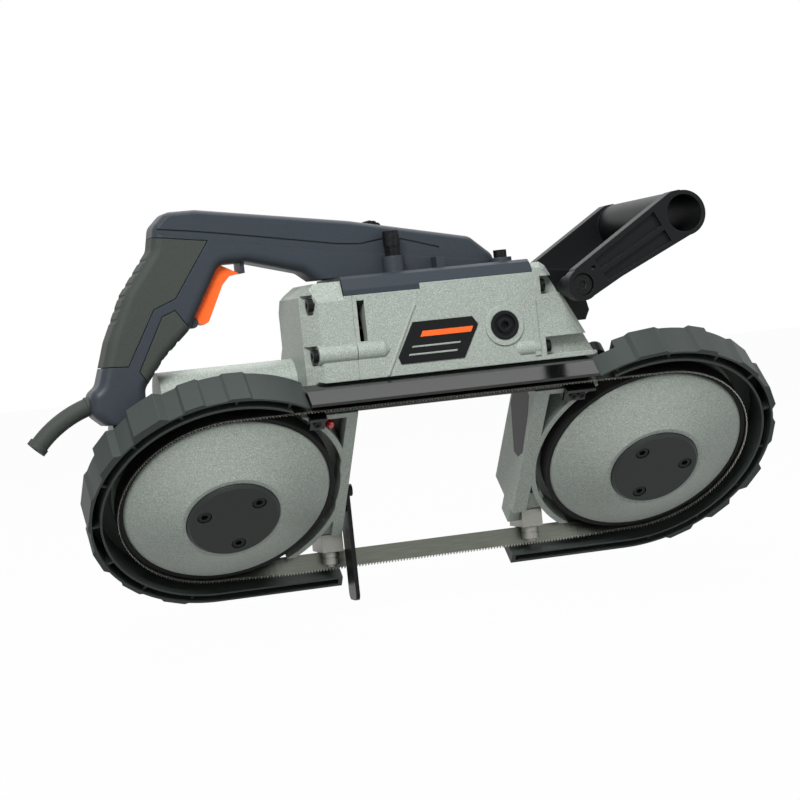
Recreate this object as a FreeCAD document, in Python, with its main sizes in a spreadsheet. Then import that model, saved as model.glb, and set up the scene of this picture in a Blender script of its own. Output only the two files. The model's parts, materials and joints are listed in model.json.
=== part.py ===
"""Portable deep-cut band saw, modelled as an assembly of separate pieces.

Millimetres, +Z up. The origin is the middle of the throat: the point midway between the two wheel
centres, on the plane of the blade's tooth edge. +X runs from the rear (driven) wheel to the front
(idler) wheel and +Y runs away from the tooth side.

The wheels lie in a plane that leans by wheel_tilt from upright. Pieces that belong to that plane are
drawn in a wheel frame: x as above, y up the leaning plane and z out of the wheels' faces.
"""
import FreeCAD
import Part
import math
import os
import re
import Sketcher

Vector = FreeCAD.Vector

SIZES = {
    # Wheels, tyres and blade
    "wheel_tilt": 42.0,
    "wheel_span": 321.0,
    "blade_radius": 79.2,
    "blade_width": 12.7,
    "blade_gauge": 0.6,
    "running_gap": 0.3,
    "shaft_gap": 0.03,
    "tyre_depth": 3.4,
    "rim_width": 14.0,
    "rim_wall": 4.5,
    "dome_rise": 16.5,
    "dome_edge": -1.0,
    "web_wall": 4.5,
    "cap_seat": 11.0,
    "hub_length": 29.0,
    "hub_cap_radius": 34.0,
    "hub_cap_height": 8.5,
    "hub_screw_circle": 23.0,
    "hub_screw_radius": 3.0,
    "screw_head_radius": 4.6,
    "screw_head_height": 4.0,
    "hex_recess_radius": 2.6,
    # Drive: motor, reduction gear, worm and worm wheel
    "drive_shaft_radius": 8.0,
    "bearing_wall": 8.0,
    "bearing_width": 8.0,
    "worm_offset": 50.0,
    "worm_depth": 64.0,
    "worm_radius": 10.0,
    "worm_length": 48.0,
    "worm_starts": 2.0,
    "worm_wheel_teeth": 32.0,
    "worm_wheel_width": 11.0,
    "worm_shaft_radius": 6.0,
    "pinion_teeth": 8.0,
    "reduction_teeth": 40.0,
    "gear_width": 9.0,
    "tooth_share": 0.34,
    "motor_height": 105.0,
    "motor_shaft_radius": 5.0,
    "stator_radius": 30.0,
    "stator_length": 60.0,
    "core_radius": 19.2,
    "air_gap": 0.5,
    "commutator_radius": 12.0,
    "commutator_length": 20.0,
    "fan_radius": 27.0,
    "brush_x": 45.7,
    # Casings
    "housing_half_length": 71.0,
    "housing_front": 40.0,
    "housing_back": 38.0,
    "housing_bottom": 72.0,
    "housing_top": 137.0,
    "case_wall": 4.0,
    "gear_case_end": 101.0,
    "end_top": 148.0,
    "nose_toe": 117.0,
    "nose_brow": 82.0,
    "cover_top": 151.0,
    "brush_cap_radius": 10.5,
    # Frame and guards
    "plate_back": 30.0,
    "plate_thickness": 5.0,
    "plate_gap": 1.2,
    "leg_wall": 4.0,
    "leg_front": 4.0,
    "leg_back": 45.0,
    "throat_rear": 70.0,
    "throat_front": 63.0,
    "guard_inner": 91.0,
    "guard_outer": 100.0,
    "guard_wall": 1.6,
    "guard_floor": 2.6,
    "flange_inner": 80.0,
    "guard_front": 2.0,
    "channel_top": 87.5,
    "channel_bottom": 70.5,
    "channel_lip": 5.0,
    "channel_drop": 6.5,
    "channel_ridge": 12.0,
    "casing_gap": 1.2,
    "tab_height": 10.0,
    "tab_thickness": 3.0,
    "strip_depth": 10.0,
    "rear_strip": 8.0,
    "front_strip": 11.0,
    "shield_thickness": 1.5,
    "arm_pocket": 3.0,
    "cap_boss_radius": 7.5,
    "end_slope": 12.0,
    "casing_chamfer": 4.5,
    "lip_height": 4.2,
    "lip_depth": 2.2,
    "lip_start": 14.5,
    "nose_boss_radius": 7.0,
    "channel_wall": 2.5,
    "channel_half_length": 107.0,
    # Blade guides and work stop
    "rear_guide_x": 76.5,
    "front_guide_x": 80.0,
    "guide_block_height": 13.0,
    "guide_block_width": 16.0,
    "roller_radius": 6.5,
    "roller_height": 9.0,
    "back_roller_radius": 5.5,
    "back_roller_width": 7.0,
    "guide_pin_radius": 2.5,
    "stop_thickness": 3.0,
    "stop_depth": 20.0,
    "stop_foot": -85.0,
    "stop_head": 14.0,
    "stop_travel": 10.0,
    # Blade tension
    "idler_axle_radius": 8.0,
    "slide_length": 40.0,
    "slide_width": 32.0,
    "slide_thickness": 15.0,
    "tension_travel": 5.0,
    "cam_radius": 8.0,
    "lever_length": 58.0,
    # Rear handle
    "handle_half_width": 17.0,
    "handle_rounding": 7.0,
    "handle_wall": 3.0,
    "pad_depth": 3.0,
    "pad_seam": 0.5,
    "notch_radius": 2.4,
    "arm_step": 1.2,
    "arm_groove": 2.2,
    "trigger_half_width": 7.5,
    "trigger_travel": 6.0,
    "dial_radius": 11.0,
    "dial_width": 7.0,
    "boot_radius": 7.0,
    "boot_bore": 3.6,
    # Front handle
    "bail_half_width": 72.0,
    "bail_arm_width": 12.0,
    "bail_tube_radius": 16.5,
    "bail_bore_radius": 13.5,
    "bail_pivot_x": 97.0,
    "bail_pivot_z": 128.0,
    "bail_boss_radius": 10.5,
    "bail_eye_radius": 11.5,
    "bail_grip_x": 179.5,
    "bail_grip_z": 172.0,
}

doc = FreeCAD.newDocument("portable_band_saw")
sheet = doc.addObject("Spreadsheet::Sheet", "sizes")
for row, (alias, number) in enumerate(SIZES.items(), start=1):
    sheet.set(f"A{row}", alias)
    sheet.set(f"B{row}", str(number))
    sheet.setAlias(f"B{row}", alias)
doc.recompute()

REAR = "(-wheel_span / 2)"
FRONT = "(wheel_span / 2)"
ALONG = {
    "X": FreeCAD.Rotation(Vector(0, 1, 0), 90),
    "Y": FreeCAD.Rotation(Vector(1, 0, 0), -90),
    "Z": FreeCAD.Rotation(),
}
pieces = []


def size(alias):
    """The number that a cell of the sheet holds."""
    return float(sheet.get(alias))


def formula(text):
    """A binding text, with each size's name led by the sheet's own."""
    return re.sub(r"[a-z][a-z_]{2,}", lambda word: f"sizes.{word.group(0)}" if word.group(0) in SIZES
                  else word.group(0), str(text))


def bind(item, **texts):
    """Bind properties of an object to formulas of the sheet's sizes."""
    for name, text in texts.items():
        item.setExpression(name.replace("__", "."), formula(text))
    return item


def place(item, at=("0", "0", "0"), along="Z"):
    """Stand an object at a bound place, with its own axis along X, Y or Z."""
    item.Placement = FreeCAD.Placement(Vector(), ALONG[along])
    for axis, text in zip("xyz", at):
        item.setExpression(f"Placement.Base.{axis}", formula(text))
    return item


def cylinder(radius, height, at=("0", "0", "0"), along="Z"):
    """A round bar from a point along an axis."""
    item = bind(doc.addObject("Part::Cylinder", "round"), Radius=radius, Height=height)
    return place(item, at, along)


def cone(low, high, height, at=("0", "0", "0"), along="Z"):
    """A round bar that tapers from one radius to another."""
    item = bind(doc.addObject("Part::Cone", "taper"), Radius1=low, Radius2=high, Height=height)
    return place(item, at, along)


def box(low, high):
    """A block between two corners."""
    item = doc.addObject("Part::Box", "block")
    lengths = [f"({b}) - ({a})" for a, b in zip(low, high)]
    bind(item, Length=lengths[0], Width=lengths[1], Height=lengths[2])
    return place(item, low)


def ring(outer, inner, height, at=("0", "0", "0"), along="Z"):
    """A round bar with a round hole through it."""
    return cut(cylinder(outer, height, at, along), cylinder(inner, height, at, along))


def hexagon(radius, height, at=("0", "0", "0"), along="Z"):
    """A six sided bar."""
    item = bind(doc.addObject("Part::Prism", "hexagon"), Circumradius=radius, Height=height)
    item.Polygon = 6
    return place(item, at, along)


def fuse(*items):
    """Several solids joined to one."""
    item = doc.addObject("Part::MultiFuse", "joined")
    item.Shapes = list(items)
    item.Refine = True
    return item


def cut(base, *tools):
    """A solid with others taken out of it."""
    item = doc.addObject("Part::Cut", "cut")
    item.Base = base
    item.Tool = tools[0] if len(tools) == 1 else fuse(*tools)
    return item


def common(first, second):
    """What two solids share."""
    item = doc.addObject("Part::MultiCommon", "shared")
    item.Shapes = [first, second]
    return item


def group(*items):
    """Separate solids kept in one piece's file, such as a set of like screws."""
    item = doc.addObject("Part::Compound", "group")
    item.Links = list(items)
    return item


def lean(item, at_x="0"):
    """Put an object drawn in the wheel frame where it stands on the saw."""
    if item.TypeId in ("Part::Cylinder", "Part::Cone", "Part::Box", "Part::Prism", "Part::Feature"):
        item = group(item)
    item.setExpression(
        "Placement",
        f"create(<<placement>>; create(<<vector>>; {formula(at_x)}; 0; 0); "
        "create(<<rotation>>; create(<<vector>>; 1; 0; 0); 90 + sizes.wheel_tilt))")
    return item


def piece(item, label):
    """Name a finished piece."""
    item.Label = label
    pieces.append(item)
    return item


def made(shape):
    """An object for a solid made directly from edges and faces."""
    item = doc.addObject("Part::Feature", "made")
    item.Shape = shape
    return item


def sketch_on(body, role, offset="0"):
    """A sketch on one of a body's own origin planes, moved along its normal."""
    sketch = body.newObject("Sketcher::SketchObject", "sketch")
    plane = next(item for item in body.Origin.OriginFeatures if item.Role == role)
    sketch.AttachmentSupport = [(plane, "")]
    sketch.MapMode = "FlatFace"
    sketch.setExpression("AttachmentOffset.Base.z", formula(offset))
    return sketch


def outline(sketch, points):
    """A closed outline of straight edges whose corners are bound to sizes."""
    count = len(points)
    start = [Vector(40 * math.cos(turn), 40 * math.sin(turn), 0)
             for turn in (2 * math.pi * index / count for index in range(count))]
    first = sketch.GeometryCount
    for index in range(count):
        sketch.addGeometry(Part.LineSegment(start[index], start[(index + 1) % count]))
    for index in range(count):
        following = first + (index + 1) % count
        sketch.addConstraint(Sketcher.Constraint("Coincident", first + index, 2, following, 1))
    for index, (across, up) in enumerate(points):
        for kind, text, value in (("DistanceX", across, start[index].x), ("DistanceY", up, start[index].y)):
            number = sketch.addConstraint(Sketcher.Constraint(kind, -1, 1, first + index, 1, value))
            sketch.setExpression(f"Constraints[{number}]", formula(text))
    return sketch


def circle(sketch, radius, at=("0", "0")):
    """A circle whose radius and centre are bound to sizes."""
    number = sketch.addGeometry(Part.Circle(Vector(1, 1, 0), Vector(0, 0, 1), 5))
    for kind, text in (("DistanceX", at[0]), ("DistanceY", at[1])):
        held = sketch.addConstraint(Sketcher.Constraint(kind, -1, 1, number, 3, 1.0))
        sketch.setExpression(f"Constraints[{held}]", formula(text))
    held = sketch.addConstraint(Sketcher.Constraint("Radius", number, 5.0))
    sketch.setExpression(f"Constraints[{held}]", formula(radius))
    return sketch


def new_body(name):
    """An empty body for sketched features."""
    return doc.addObject("PartDesign::Body", name)


def pad(body, sketch, length, both_ways=False):
    """A sketch raised to a solid."""
    feature = body.newObject("PartDesign::Pad", "pad")
    feature.Profile = sketch
    feature.Midplane = both_ways
    bind(feature, Length=length)
    return feature


def pocket(body, sketch):
    """A sketch cut right through a body."""
    feature = body.newObject("PartDesign::Pocket", "pocket")
    feature.Profile = sketch
    feature.Type = 1
    feature.Midplane = True
    return feature


def revolve(body, sketch):
    """A sketch turned about its upright axis."""
    feature = body.newObject("PartDesign::Revolution", "turned")
    feature.Profile = sketch
    feature.ReferenceAxis = (sketch, ["V_Axis"])
    feature.Angle = 360
    return feature


def round_edges(body, feature, radius, chosen, kind="Fillet"):
    """Round, or bevel, those edges of a feature that a test chooses."""
    doc.recompute()
    names = [f"Edge{number}" for number, edge in enumerate(feature.Shape.Edges, start=1) if chosen(edge)]
    rounded = body.newObject(f"PartDesign::{kind}", "rounded")
    rounded.Base = (feature, names)
    bind(rounded, **{"Radius" if kind == "Fillet" else "Size": radius})
    return rounded


def around(body, feature, count):
    """A feature repeated round the body's Z axis."""
    pattern = body.newObject("PartDesign::PolarPattern", "around")
    pattern.Originals = [feature]
    axis = next(item for item in body.Origin.OriginFeatures if item.Role == "Z_Axis")
    pattern.Axis = (axis, [""])
    pattern.Angle = 360
    pattern.Occurrences = count
    body.Tip = pattern
    return pattern


def wheel_to_body(across, up, out):
    """A point of the wheel frame in the saw's own frame."""
    turn = math.radians(90 + size("wheel_tilt"))
    return Vector(across, math.cos(turn) * up - math.sin(turn) * out,
                  math.sin(turn) * up + math.cos(turn) * out)


RIM_RADIUS = "(blade_radius - running_gap - tyre_depth)"
HUB_BACK = "(cap_seat - hub_length)"
BEARING_RADIUS = "(drive_shaft_radius + bearing_wall)"
SCREW_TURNS = {"drive": 42.0, "idler": 7.0}


def wheel(label, bore, hub_radius, at_x, screw_turn):
    """A blade wheel: a dished disc with a rim behind it, a hub and three tapped holes for its cap."""
    body = new_body(label)
    dish_lip = "hub_cap_radius + 3.5"
    cap_recess = "hub_cap_radius + running_gap"
    profile = outline(sketch_on(body, "XZ_Plane"), [
        (bore, HUB_BACK), (hub_radius, HUB_BACK), (hub_radius, "cap_seat - web_wall"),
        (cap_recess, "cap_seat - web_wall"), (f"{RIM_RADIUS} - rim_wall", "dome_edge - web_wall"),
        (f"{RIM_RADIUS} - rim_wall", "-rim_width"), (RIM_RADIUS, "-rim_width"), (RIM_RADIUS, "dome_edge"),
        (dish_lip, "dome_rise"), (cap_recess, "dome_rise"), (cap_recess, "cap_seat"), (bore, "cap_seat")])
    disc = revolve(body, profile)
    rim = size("blade_radius") - size("running_gap") - size("tyre_depth")
    edge_height = size("dome_edge")

    def is_front_edge(edge):
        box_of = edge.BoundBox
        return abs(box_of.ZMin - edge_height) < 0.01 and abs(box_of.ZMax - edge_height) < 0.01 \
            and abs(box_of.XMax - rim) < 0.01

    rounded = round_edges(body, disc, "rim_wall", is_front_edge)
    turn = math.radians(screw_turn)
    holes = circle(sketch_on(body, "XY_Plane"), "hub_screw_radius + shaft_gap",
                   (f"hub_screw_circle * {math.cos(turn):.6f}", f"hub_screw_circle * {math.sin(turn):.6f}"))
    doc.recompute()
    around(body, pocket(body, holes), 3)
    assert rounded.Shape.Volume > body.Shape.Volume
    return piece(lean(body, at_x), label)


def tyre(label, at_x):
    """The rubber band that the blade runs on."""
    band = ring(f"{RIM_RADIUS} + tyre_depth", RIM_RADIUS, "rim_width - 2.3", ("0", "0", "-rim_width + 0.3"))
    return piece(lean(band, at_x), label)


def hub_screw_places(screw_turn):
    """Where the three hub cap screws stand, as formulas."""
    for index in range(3):
        turn = math.radians(screw_turn + 120 * index)
        yield f"hub_screw_circle * {math.cos(turn):.6f}", f"hub_screw_circle * {math.sin(turn):.6f}"


def hub_cap(label, at_x, screw_turn):
    """The bevelled plastic cap over a wheel's hub, with sunk seats for its screws."""
    body = new_body(label)
    disc = pad(body, circle(sketch_on(body, "XY_Plane", "cap_seat"), "hub_cap_radius"), "hub_cap_height")
    top = size("cap_seat") + size("hub_cap_height")
    bevel = round_edges(body, disc, "2.2", lambda edge: abs(edge.BoundBox.ZMin - top) < 0.01, "Chamfer")
    across, up = next(hub_screw_places(screw_turn))
    seat = body.newObject("PartDesign::Pocket", "seat")
    seat.Profile = circle(sketch_on(body, "XY_Plane", "cap_seat + hub_cap_height"),
                          "screw_head_radius + 0.7", (across, up))
    bind(seat, Length="screw_head_height + 0.6")
    doc.recompute()
    around(body, seat, 3)
    through = pocket(body, circle(sketch_on(body, "XY_Plane"), "hub_screw_radius + shaft_gap", (across, up)))
    doc.recompute()
    around(body, through, 3)
    assert bevel.Shape.Volume > body.Shape.Volume
    return piece(lean(body, at_x), label)


def cap_screw(at, along, shank, turned=1):
    """A socket screw: head on the far side of its seat, shank running back from it."""
    step = {"X": 0, "Y": 1, "Z": 2}[along]
    behind = list(at)
    behind[step] = f"{at[step]} - {turned} * ({shank})" if turned > 0 else at[step]
    seat = list(at)
    sink = list(at)
    if turned > 0:
        sink[step] = f"{at[step]} + screw_head_height - 2.4"
    else:
        seat[step] = f"{at[step]} - screw_head_height"
        sink[step] = f"{at[step]} - screw_head_height - 0.1"
    head = cylinder("screw_head_radius", "screw_head_height", seat, along)
    stem = cylinder("hub_screw_radius", shank, behind, along)
    return cut(fuse(head, stem), hexagon("hex_recess_radius", "2.5", sink, along))


def hub_screws(label, at_x, screw_turn):
    """The three socket screws that hold a hub cap."""
    base = "cap_seat + hub_cap_height - screw_head_height - 0.6"
    shank = "hub_cap_height - screw_head_height - 0.6 + web_wall"
    screws = [cap_screw((across, up, base), "Z", shank) for across, up in hub_screw_places(screw_turn)]
    return piece(lean(group(*screws), at_x), label)


def drive_shaft():
    """The output shaft: wheel at the front, worm wheel and bearings behind."""
    tail = f"worm_depth + {WHEEL_HALF} + bearing_width + 8"
    bar = cylinder("drive_shaft_radius", f"cap_seat + {tail}", ("0", "0", f"-({tail})"))
    collar = cylinder("drive_shaft_radius + 4", "plate_back - plate_thickness - 0.4 - hub_length + cap_seat",
                      ("0", "0", "-(plate_back - plate_thickness - 0.4)"))
    return piece(lean(fuse(bar, collar), REAR), "drive_shaft")


WHEEL_HALF = "(worm_wheel_width / 2)"


def toothed_disc(teeth, pitch_radius, rise, drop, share, turn):
    """The outline of a gear with straight-sided teeth, as a face; turn is where its first tooth points."""
    step = 2 * math.pi / teeth
    root, crest = pitch_radius - drop, pitch_radius + rise
    half = share * step / 2
    points = []
    for index in range(teeth):
        middle = turn + index * step
        for radius, offset in ((root, -1.55), (crest, -0.6), (crest, 0.6), (root, 1.55)):
            angle = middle + offset * half * pitch_radius / radius
            points.append(Vector(radius * math.cos(angle), radius * math.sin(angle), 0))
    return Part.Face(Part.makePolygon(points + points[:1]))


def worm_module():
    """The module of the worm and its wheel, from their centre distance and the tooth count."""
    return 2 * (size("worm_offset") - size("worm_radius")) / size("worm_wheel_teeth")


def worm_wheel():
    """The worm wheel: slanted teeth round a disc, bored for the drive shaft."""
    teeth = int(size("worm_wheel_teeth"))
    module = worm_module()
    pitch_radius = size("worm_offset") - size("worm_radius")
    width = size("worm_wheel_width")
    lead_slope = size("worm_starts") * module / (2 * size("worm_radius"))
    blank = Part.makeCylinder(pitch_radius - 0.95 * module, width, Vector(0, 0, -width / 2))
    thickness = size("tooth_share") * math.pi * module
    half_width = width / 2
    root, crest = pitch_radius - 1.6 * module, pitch_radius + 0.7 * module

    def tooth_end(height):
        shift = lead_slope * height
        corners = [(root, -0.8), (crest, -0.3), (crest, 0.3), (root, 0.8)]
        points = [Vector(radius, shift + side * thickness, height) for radius, side in corners]
        return Part.makePolygon(points + points[:1])

    tooth = Part.makeLoft([tooth_end(-half_width), tooth_end(half_width)], True, True)
    copies = []
    for index in range(teeth):
        copy = tooth.copy()
        copy.rotate(Vector(), Vector(0, 0, 1), 90 + 360 * (index + 0.5) / teeth)
        copies.append(copy)
    bore = Part.makeCylinder(size("drive_shaft_radius") + size("shaft_gap"), width, Vector(0, 0, -width / 2))
    solid = blank.fuse(copies).removeSplitter().cut(bore)
    solid.translate(Vector(0, 0, -size("worm_depth")))
    return piece(lean(made(solid), REAR), "worm_wheel")


def worm_axis():
    """Where the worm shaft's axis stands, as a point of the saw's frame at X zero."""
    return wheel_to_body(0, size("worm_offset"), -size("worm_depth"))


def worm_shaft():
    """The layshaft with its two-start worm."""
    module = worm_module()
    radius = size("worm_radius")
    lead = size("worm_starts") * math.pi * module
    length = size("worm_length")
    root, crest = radius - 0.95 * module, radius + 0.7 * module
    thickness = size("tooth_share") * math.pi * module
    core = Part.makeCylinder(root, length, Vector(0, 0, -length / 2))
    solids = [core]
    sunk = root - 0.5
    for start in range(int(size("worm_starts"))):
        helix = Part.makeHelix(lead, length - 2 * thickness, radius)
        helix.translate(Vector(0, 0, -length / 2 + thickness))
        corners = [(sunk, -0.85), (crest, -0.3), (crest, 0.3), (sunk, 0.85)]
        base = -length / 2 + thickness
        points = [Vector(reach, 0, base + side * thickness) for reach, side in corners]
        thread = Part.Wire(helix).makePipeShell([Part.makePolygon(points + points[:1])], True, True)
        thread.rotate(Vector(), Vector(0, 0, 1), 360 * start / size("worm_starts"))
        solids.append(thread)
    worm = solids[0].fuse(solids[1:])
    facing_wheel = size("wheel_tilt")
    worm.rotate(Vector(), Vector(0, 0, 1), facing_wheel + 360 * (thickness - length / 2) / lead)
    left, right = -length / 2 - size("bearing_width") - 4, size("wheel_span") / 2 - WORM_RIGHT_END
    worm = worm.fuse(Part.makeCylinder(size("worm_shaft_radius"), right - left, Vector(0, 0, left)))
    turn_up = FreeCAD.Rotation(Vector(0, 1, 0), 90)
    item = made(worm)
    axis = worm_axis()
    item.Placement = FreeCAD.Placement(Vector(-size("wheel_span") / 2, axis.y, axis.z), turn_up)
    return piece(item, "worm_shaft")


WORM_RIGHT_END = 77.5


def gear_pair():
    """Centre distance, direction from motor to layshaft and module of the motor's gear pair."""
    axis = worm_axis()
    across, up = axis.y, axis.z - size("motor_height")
    distance = math.hypot(across, up)
    module = 2 * distance / (size("pinion_teeth") + size("reduction_teeth"))
    return distance, math.atan2(up, across), module


def spur_gear(teeth_alias, turn, width, bore):
    """A spur gear about X through its own origin, first tooth turned from +Y towards +Z."""
    module = gear_pair()[2]
    teeth = int(size(teeth_alias))
    face = toothed_disc(teeth, module * teeth / 2, 0.62 * module, 0.9 * module,
                        2 * size("tooth_share") * 0.62, turn)
    gear = face.extrude(Vector(0, 0, width))
    if bore:
        gear = gear.cut(Part.makeCylinder(bore, width))
    gear.transformShape(FreeCAD.Matrix(0, 0, 1, 0, 1, 0, 0, 0, 0, 1, 0, 0, 0, 0, 0, 1))
    return gear


def reduction_gear():
    """The large spur gear on the layshaft."""
    axis = worm_axis()
    toward_motor = gear_pair()[1] + math.pi
    half_step = math.pi / size("reduction_teeth")
    gear = spur_gear("reduction_teeth", toward_motor + half_step, size("gear_width"),
                     size("worm_shaft_radius") + size("shaft_gap"))
    item = made(gear)
    item.Placement.Base = Vector(-size("gear_case_end") + size("case_wall") + 1, axis.y, axis.z)
    return piece(item, "reduction_gear")


def armature_shaft():
    """The motor shaft with the pinion cut on its gear case end."""
    pinion = spur_gear("pinion_teeth", gear_pair()[1], size("gear_width") + 1, None)
    left = -size("gear_case_end") + size("case_wall") + 0.5
    pinion.translate(Vector(left, 0, 0))
    right = size("housing_half_length") - 2
    start = left + size("gear_width") + 1
    bar = Part.makeCylinder(size("motor_shaft_radius"), right - start, Vector(start, 0, 0), Vector(1, 0, 0))
    item = made(pinion.fuse(bar))
    item.Placement.Base = Vector(0, 0, size("motor_height"))
    return piece(item, "armature_shaft")


SHAFT_BORE = "(motor_shaft_radius + shaft_gap)"
CORE_LEFT = "(-0.75 * stator_length)"


def armature_core():
    """The laminated core with its slots and the windings' end turns."""
    at = (CORE_LEFT, "0", "motor_height")
    core = cylinder("core_radius", "stator_length", at, "X")
    slots = [box((CORE_LEFT, "-1.2", "motor_height + core_radius - 4"),
                 (f"{CORE_LEFT} + stator_length", "1.2", "motor_height + core_radius + 1"))
             for _ in range(12)]
    for index, slot in enumerate(slots):
        slot.Placement = FreeCAD.Placement()
        turned = doc.addObject("Part::Compound", "slot")
        turned.Links = [slot]
        slot.setExpression("Placement.Base.x", formula(CORE_LEFT))
        slot.setExpression("Placement.Base.y", formula("-1.2"))
        slot.setExpression("Placement.Base.z", formula("core_radius - 4"))
        turned.Placement.Rotation = FreeCAD.Rotation(Vector(1, 0, 0), 30 * index)
        turned.setExpression("Placement.Base.z", formula("motor_height"))
        slots[index] = turned
    wound = [cylinder("core_radius - 3", "5.5", (f"{CORE_LEFT} - 5.5", "0", "motor_height"), "X"),
             cylinder("core_radius - 3", "5.5", (f"{CORE_LEFT} + stator_length", "0", "motor_height"), "X")]
    bore = cylinder(SHAFT_BORE, "stator_length + 20", (f"{CORE_LEFT} - 10", "0", "motor_height"), "X")
    return piece(cut(fuse(core, *wound), bore, *slots), "armature_core")


def commutator():
    """The copper commutator beside the brushes."""
    left = "(brush_x - commutator_length / 2)"
    return piece(ring("commutator_radius", SHAFT_BORE, "commutator_length", (left, "0", "motor_height"), "X"),
                 "commutator")


def cooling_fan():
    """The fan: a hub and disc with straight blades on the motor side of the gear case."""
    left = "(-housing_half_length + bearing_width + 3)"
    hub = cylinder("motor_shaft_radius + 4", "9", (left, "0", "motor_height"), "X")
    disc = cylinder("fan_radius", "1.6", (left, "0", "motor_height"), "X")
    vanes = []
    for index in range(9):
        vane = box(("0", "motor_shaft_radius + 2", "-0.8"), ("7", "fan_radius - 1", "0.8"))
        turned = doc.addObject("Part::Compound", "vane")
        turned.Links = [vane]
        turned.Placement.Rotation = FreeCAD.Rotation(Vector(1, 0, 0), 40 * index)
        turned.setExpression("Placement.Base.x", formula(f"{left} + 1"))
        turned.setExpression("Placement.Base.z", formula("motor_height"))
        vanes.append(turned)
    bore = cylinder(SHAFT_BORE, "12", (f"{left} - 1", "0", "motor_height"), "X")
    return piece(cut(fuse(hub, disc, *vanes), bore), "cooling_fan")


def field_stator():
    """The field laminations round the armature, split by two pole gaps."""
    at = (CORE_LEFT, "0", "motor_height")
    stack = ring("stator_radius", "core_radius + air_gap", "stator_length", at, "X")
    gap = box((f"{CORE_LEFT} - 1", "-6", "motor_height - core_radius - 5"),
              (f"{CORE_LEFT} + stator_length + 1", "6", "motor_height + core_radius + 5"))
    return piece(cut(stack, gap), "field_stator")


def shaft_bearings():
    """Six ball bearings: two each on the motor shaft, the layshaft and the drive shaft."""
    axis = worm_axis()
    motor = [ring("motor_shaft_radius + bearing_wall * 0.75", SHAFT_BORE, "bearing_width",
                  (left, "0", "motor_height"), "X")
             for left in ("-housing_half_length + 0.5", "housing_half_length - bearing_width - 2")]
    layshaft = []
    for left in (f"{REAR} - worm_length / 2 - bearing_width - 4", f"-gear_case_end + {LAY_BEARING}"):
        bearing = ring("worm_shaft_radius + bearing_wall * 0.75", "worm_shaft_radius + shaft_gap",
                       "bearing_width", (left, "0", "0"), "X")
        moved = group(bearing)
        moved.Placement.Base = Vector(0, axis.y, axis.z)
        layshaft.append(moved)
    drive = [lean(ring(BEARING_RADIUS, "drive_shaft_radius + shaft_gap", "bearing_width",
                       ("0", "0", depth)), REAR)
             for depth in ("-plate_back - 4", f"-worm_depth - {WHEEL_HALF} - bearing_width - 3")]
    return piece(group(*motor, *layshaft, *drive), "shaft_bearings")


LAY_BEARING = "case_wall + 1 + gear_width + 2"


def at_worm_axis(item):
    """Move an object drawn about the X axis onto the layshaft's axis."""
    axis = worm_axis()
    moved = group(item)
    moved.Placement.Base = Vector(0, axis.y, axis.z)
    return moved


def channel_bar(half_length, inset, front):
    """A bar of the blade channel's section, drawn in by an inset: its top slopes down to its back."""
    body = new_body("channel")
    back, low, top = f"(-{GUARD_BACK} + {inset})", f"(channel_bottom + {inset})", f"(channel_top - {inset})"
    section = outline(sketch_on(body, "YZ_Plane", f"-({half_length})"), [
        (low, back), (f"{top} - channel_drop", back), (top, "-channel_ridge"), (top, front), (low, front)])
    pad(body, section, f"2 * ({half_length})")
    return body


def channel_room(growth):
    """The space of the blade channel and its ends, grown by a clearance."""
    return lean(channel_bar("channel_half_length + 40", f"(-{growth})", "guard_front + 20"))


def end_slopes():
    """The wedges cut from the end cap's left end: one down its near edge, one along its top."""
    beyond, inside = "-gear_case_end - 1", "-gear_case_end + end_slope"
    near = new_body("near_slope")
    sketch = outline(sketch_on(near, "XY_Plane", "housing_bottom - 1"), [
        (beyond, "-housing_front - 1"), (inside, "-housing_front - 1"), (beyond, "-housing_front + end_slope")])
    pad(near, sketch, "end_top - housing_bottom + 2")
    over = upright_prism("top_slope", [(beyond, "end_top - end_slope * 0.8"), (inside, "end_top + 1"),
                                       (beyond, "end_top + 1")], "housing_back + 20")
    return near, over


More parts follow.
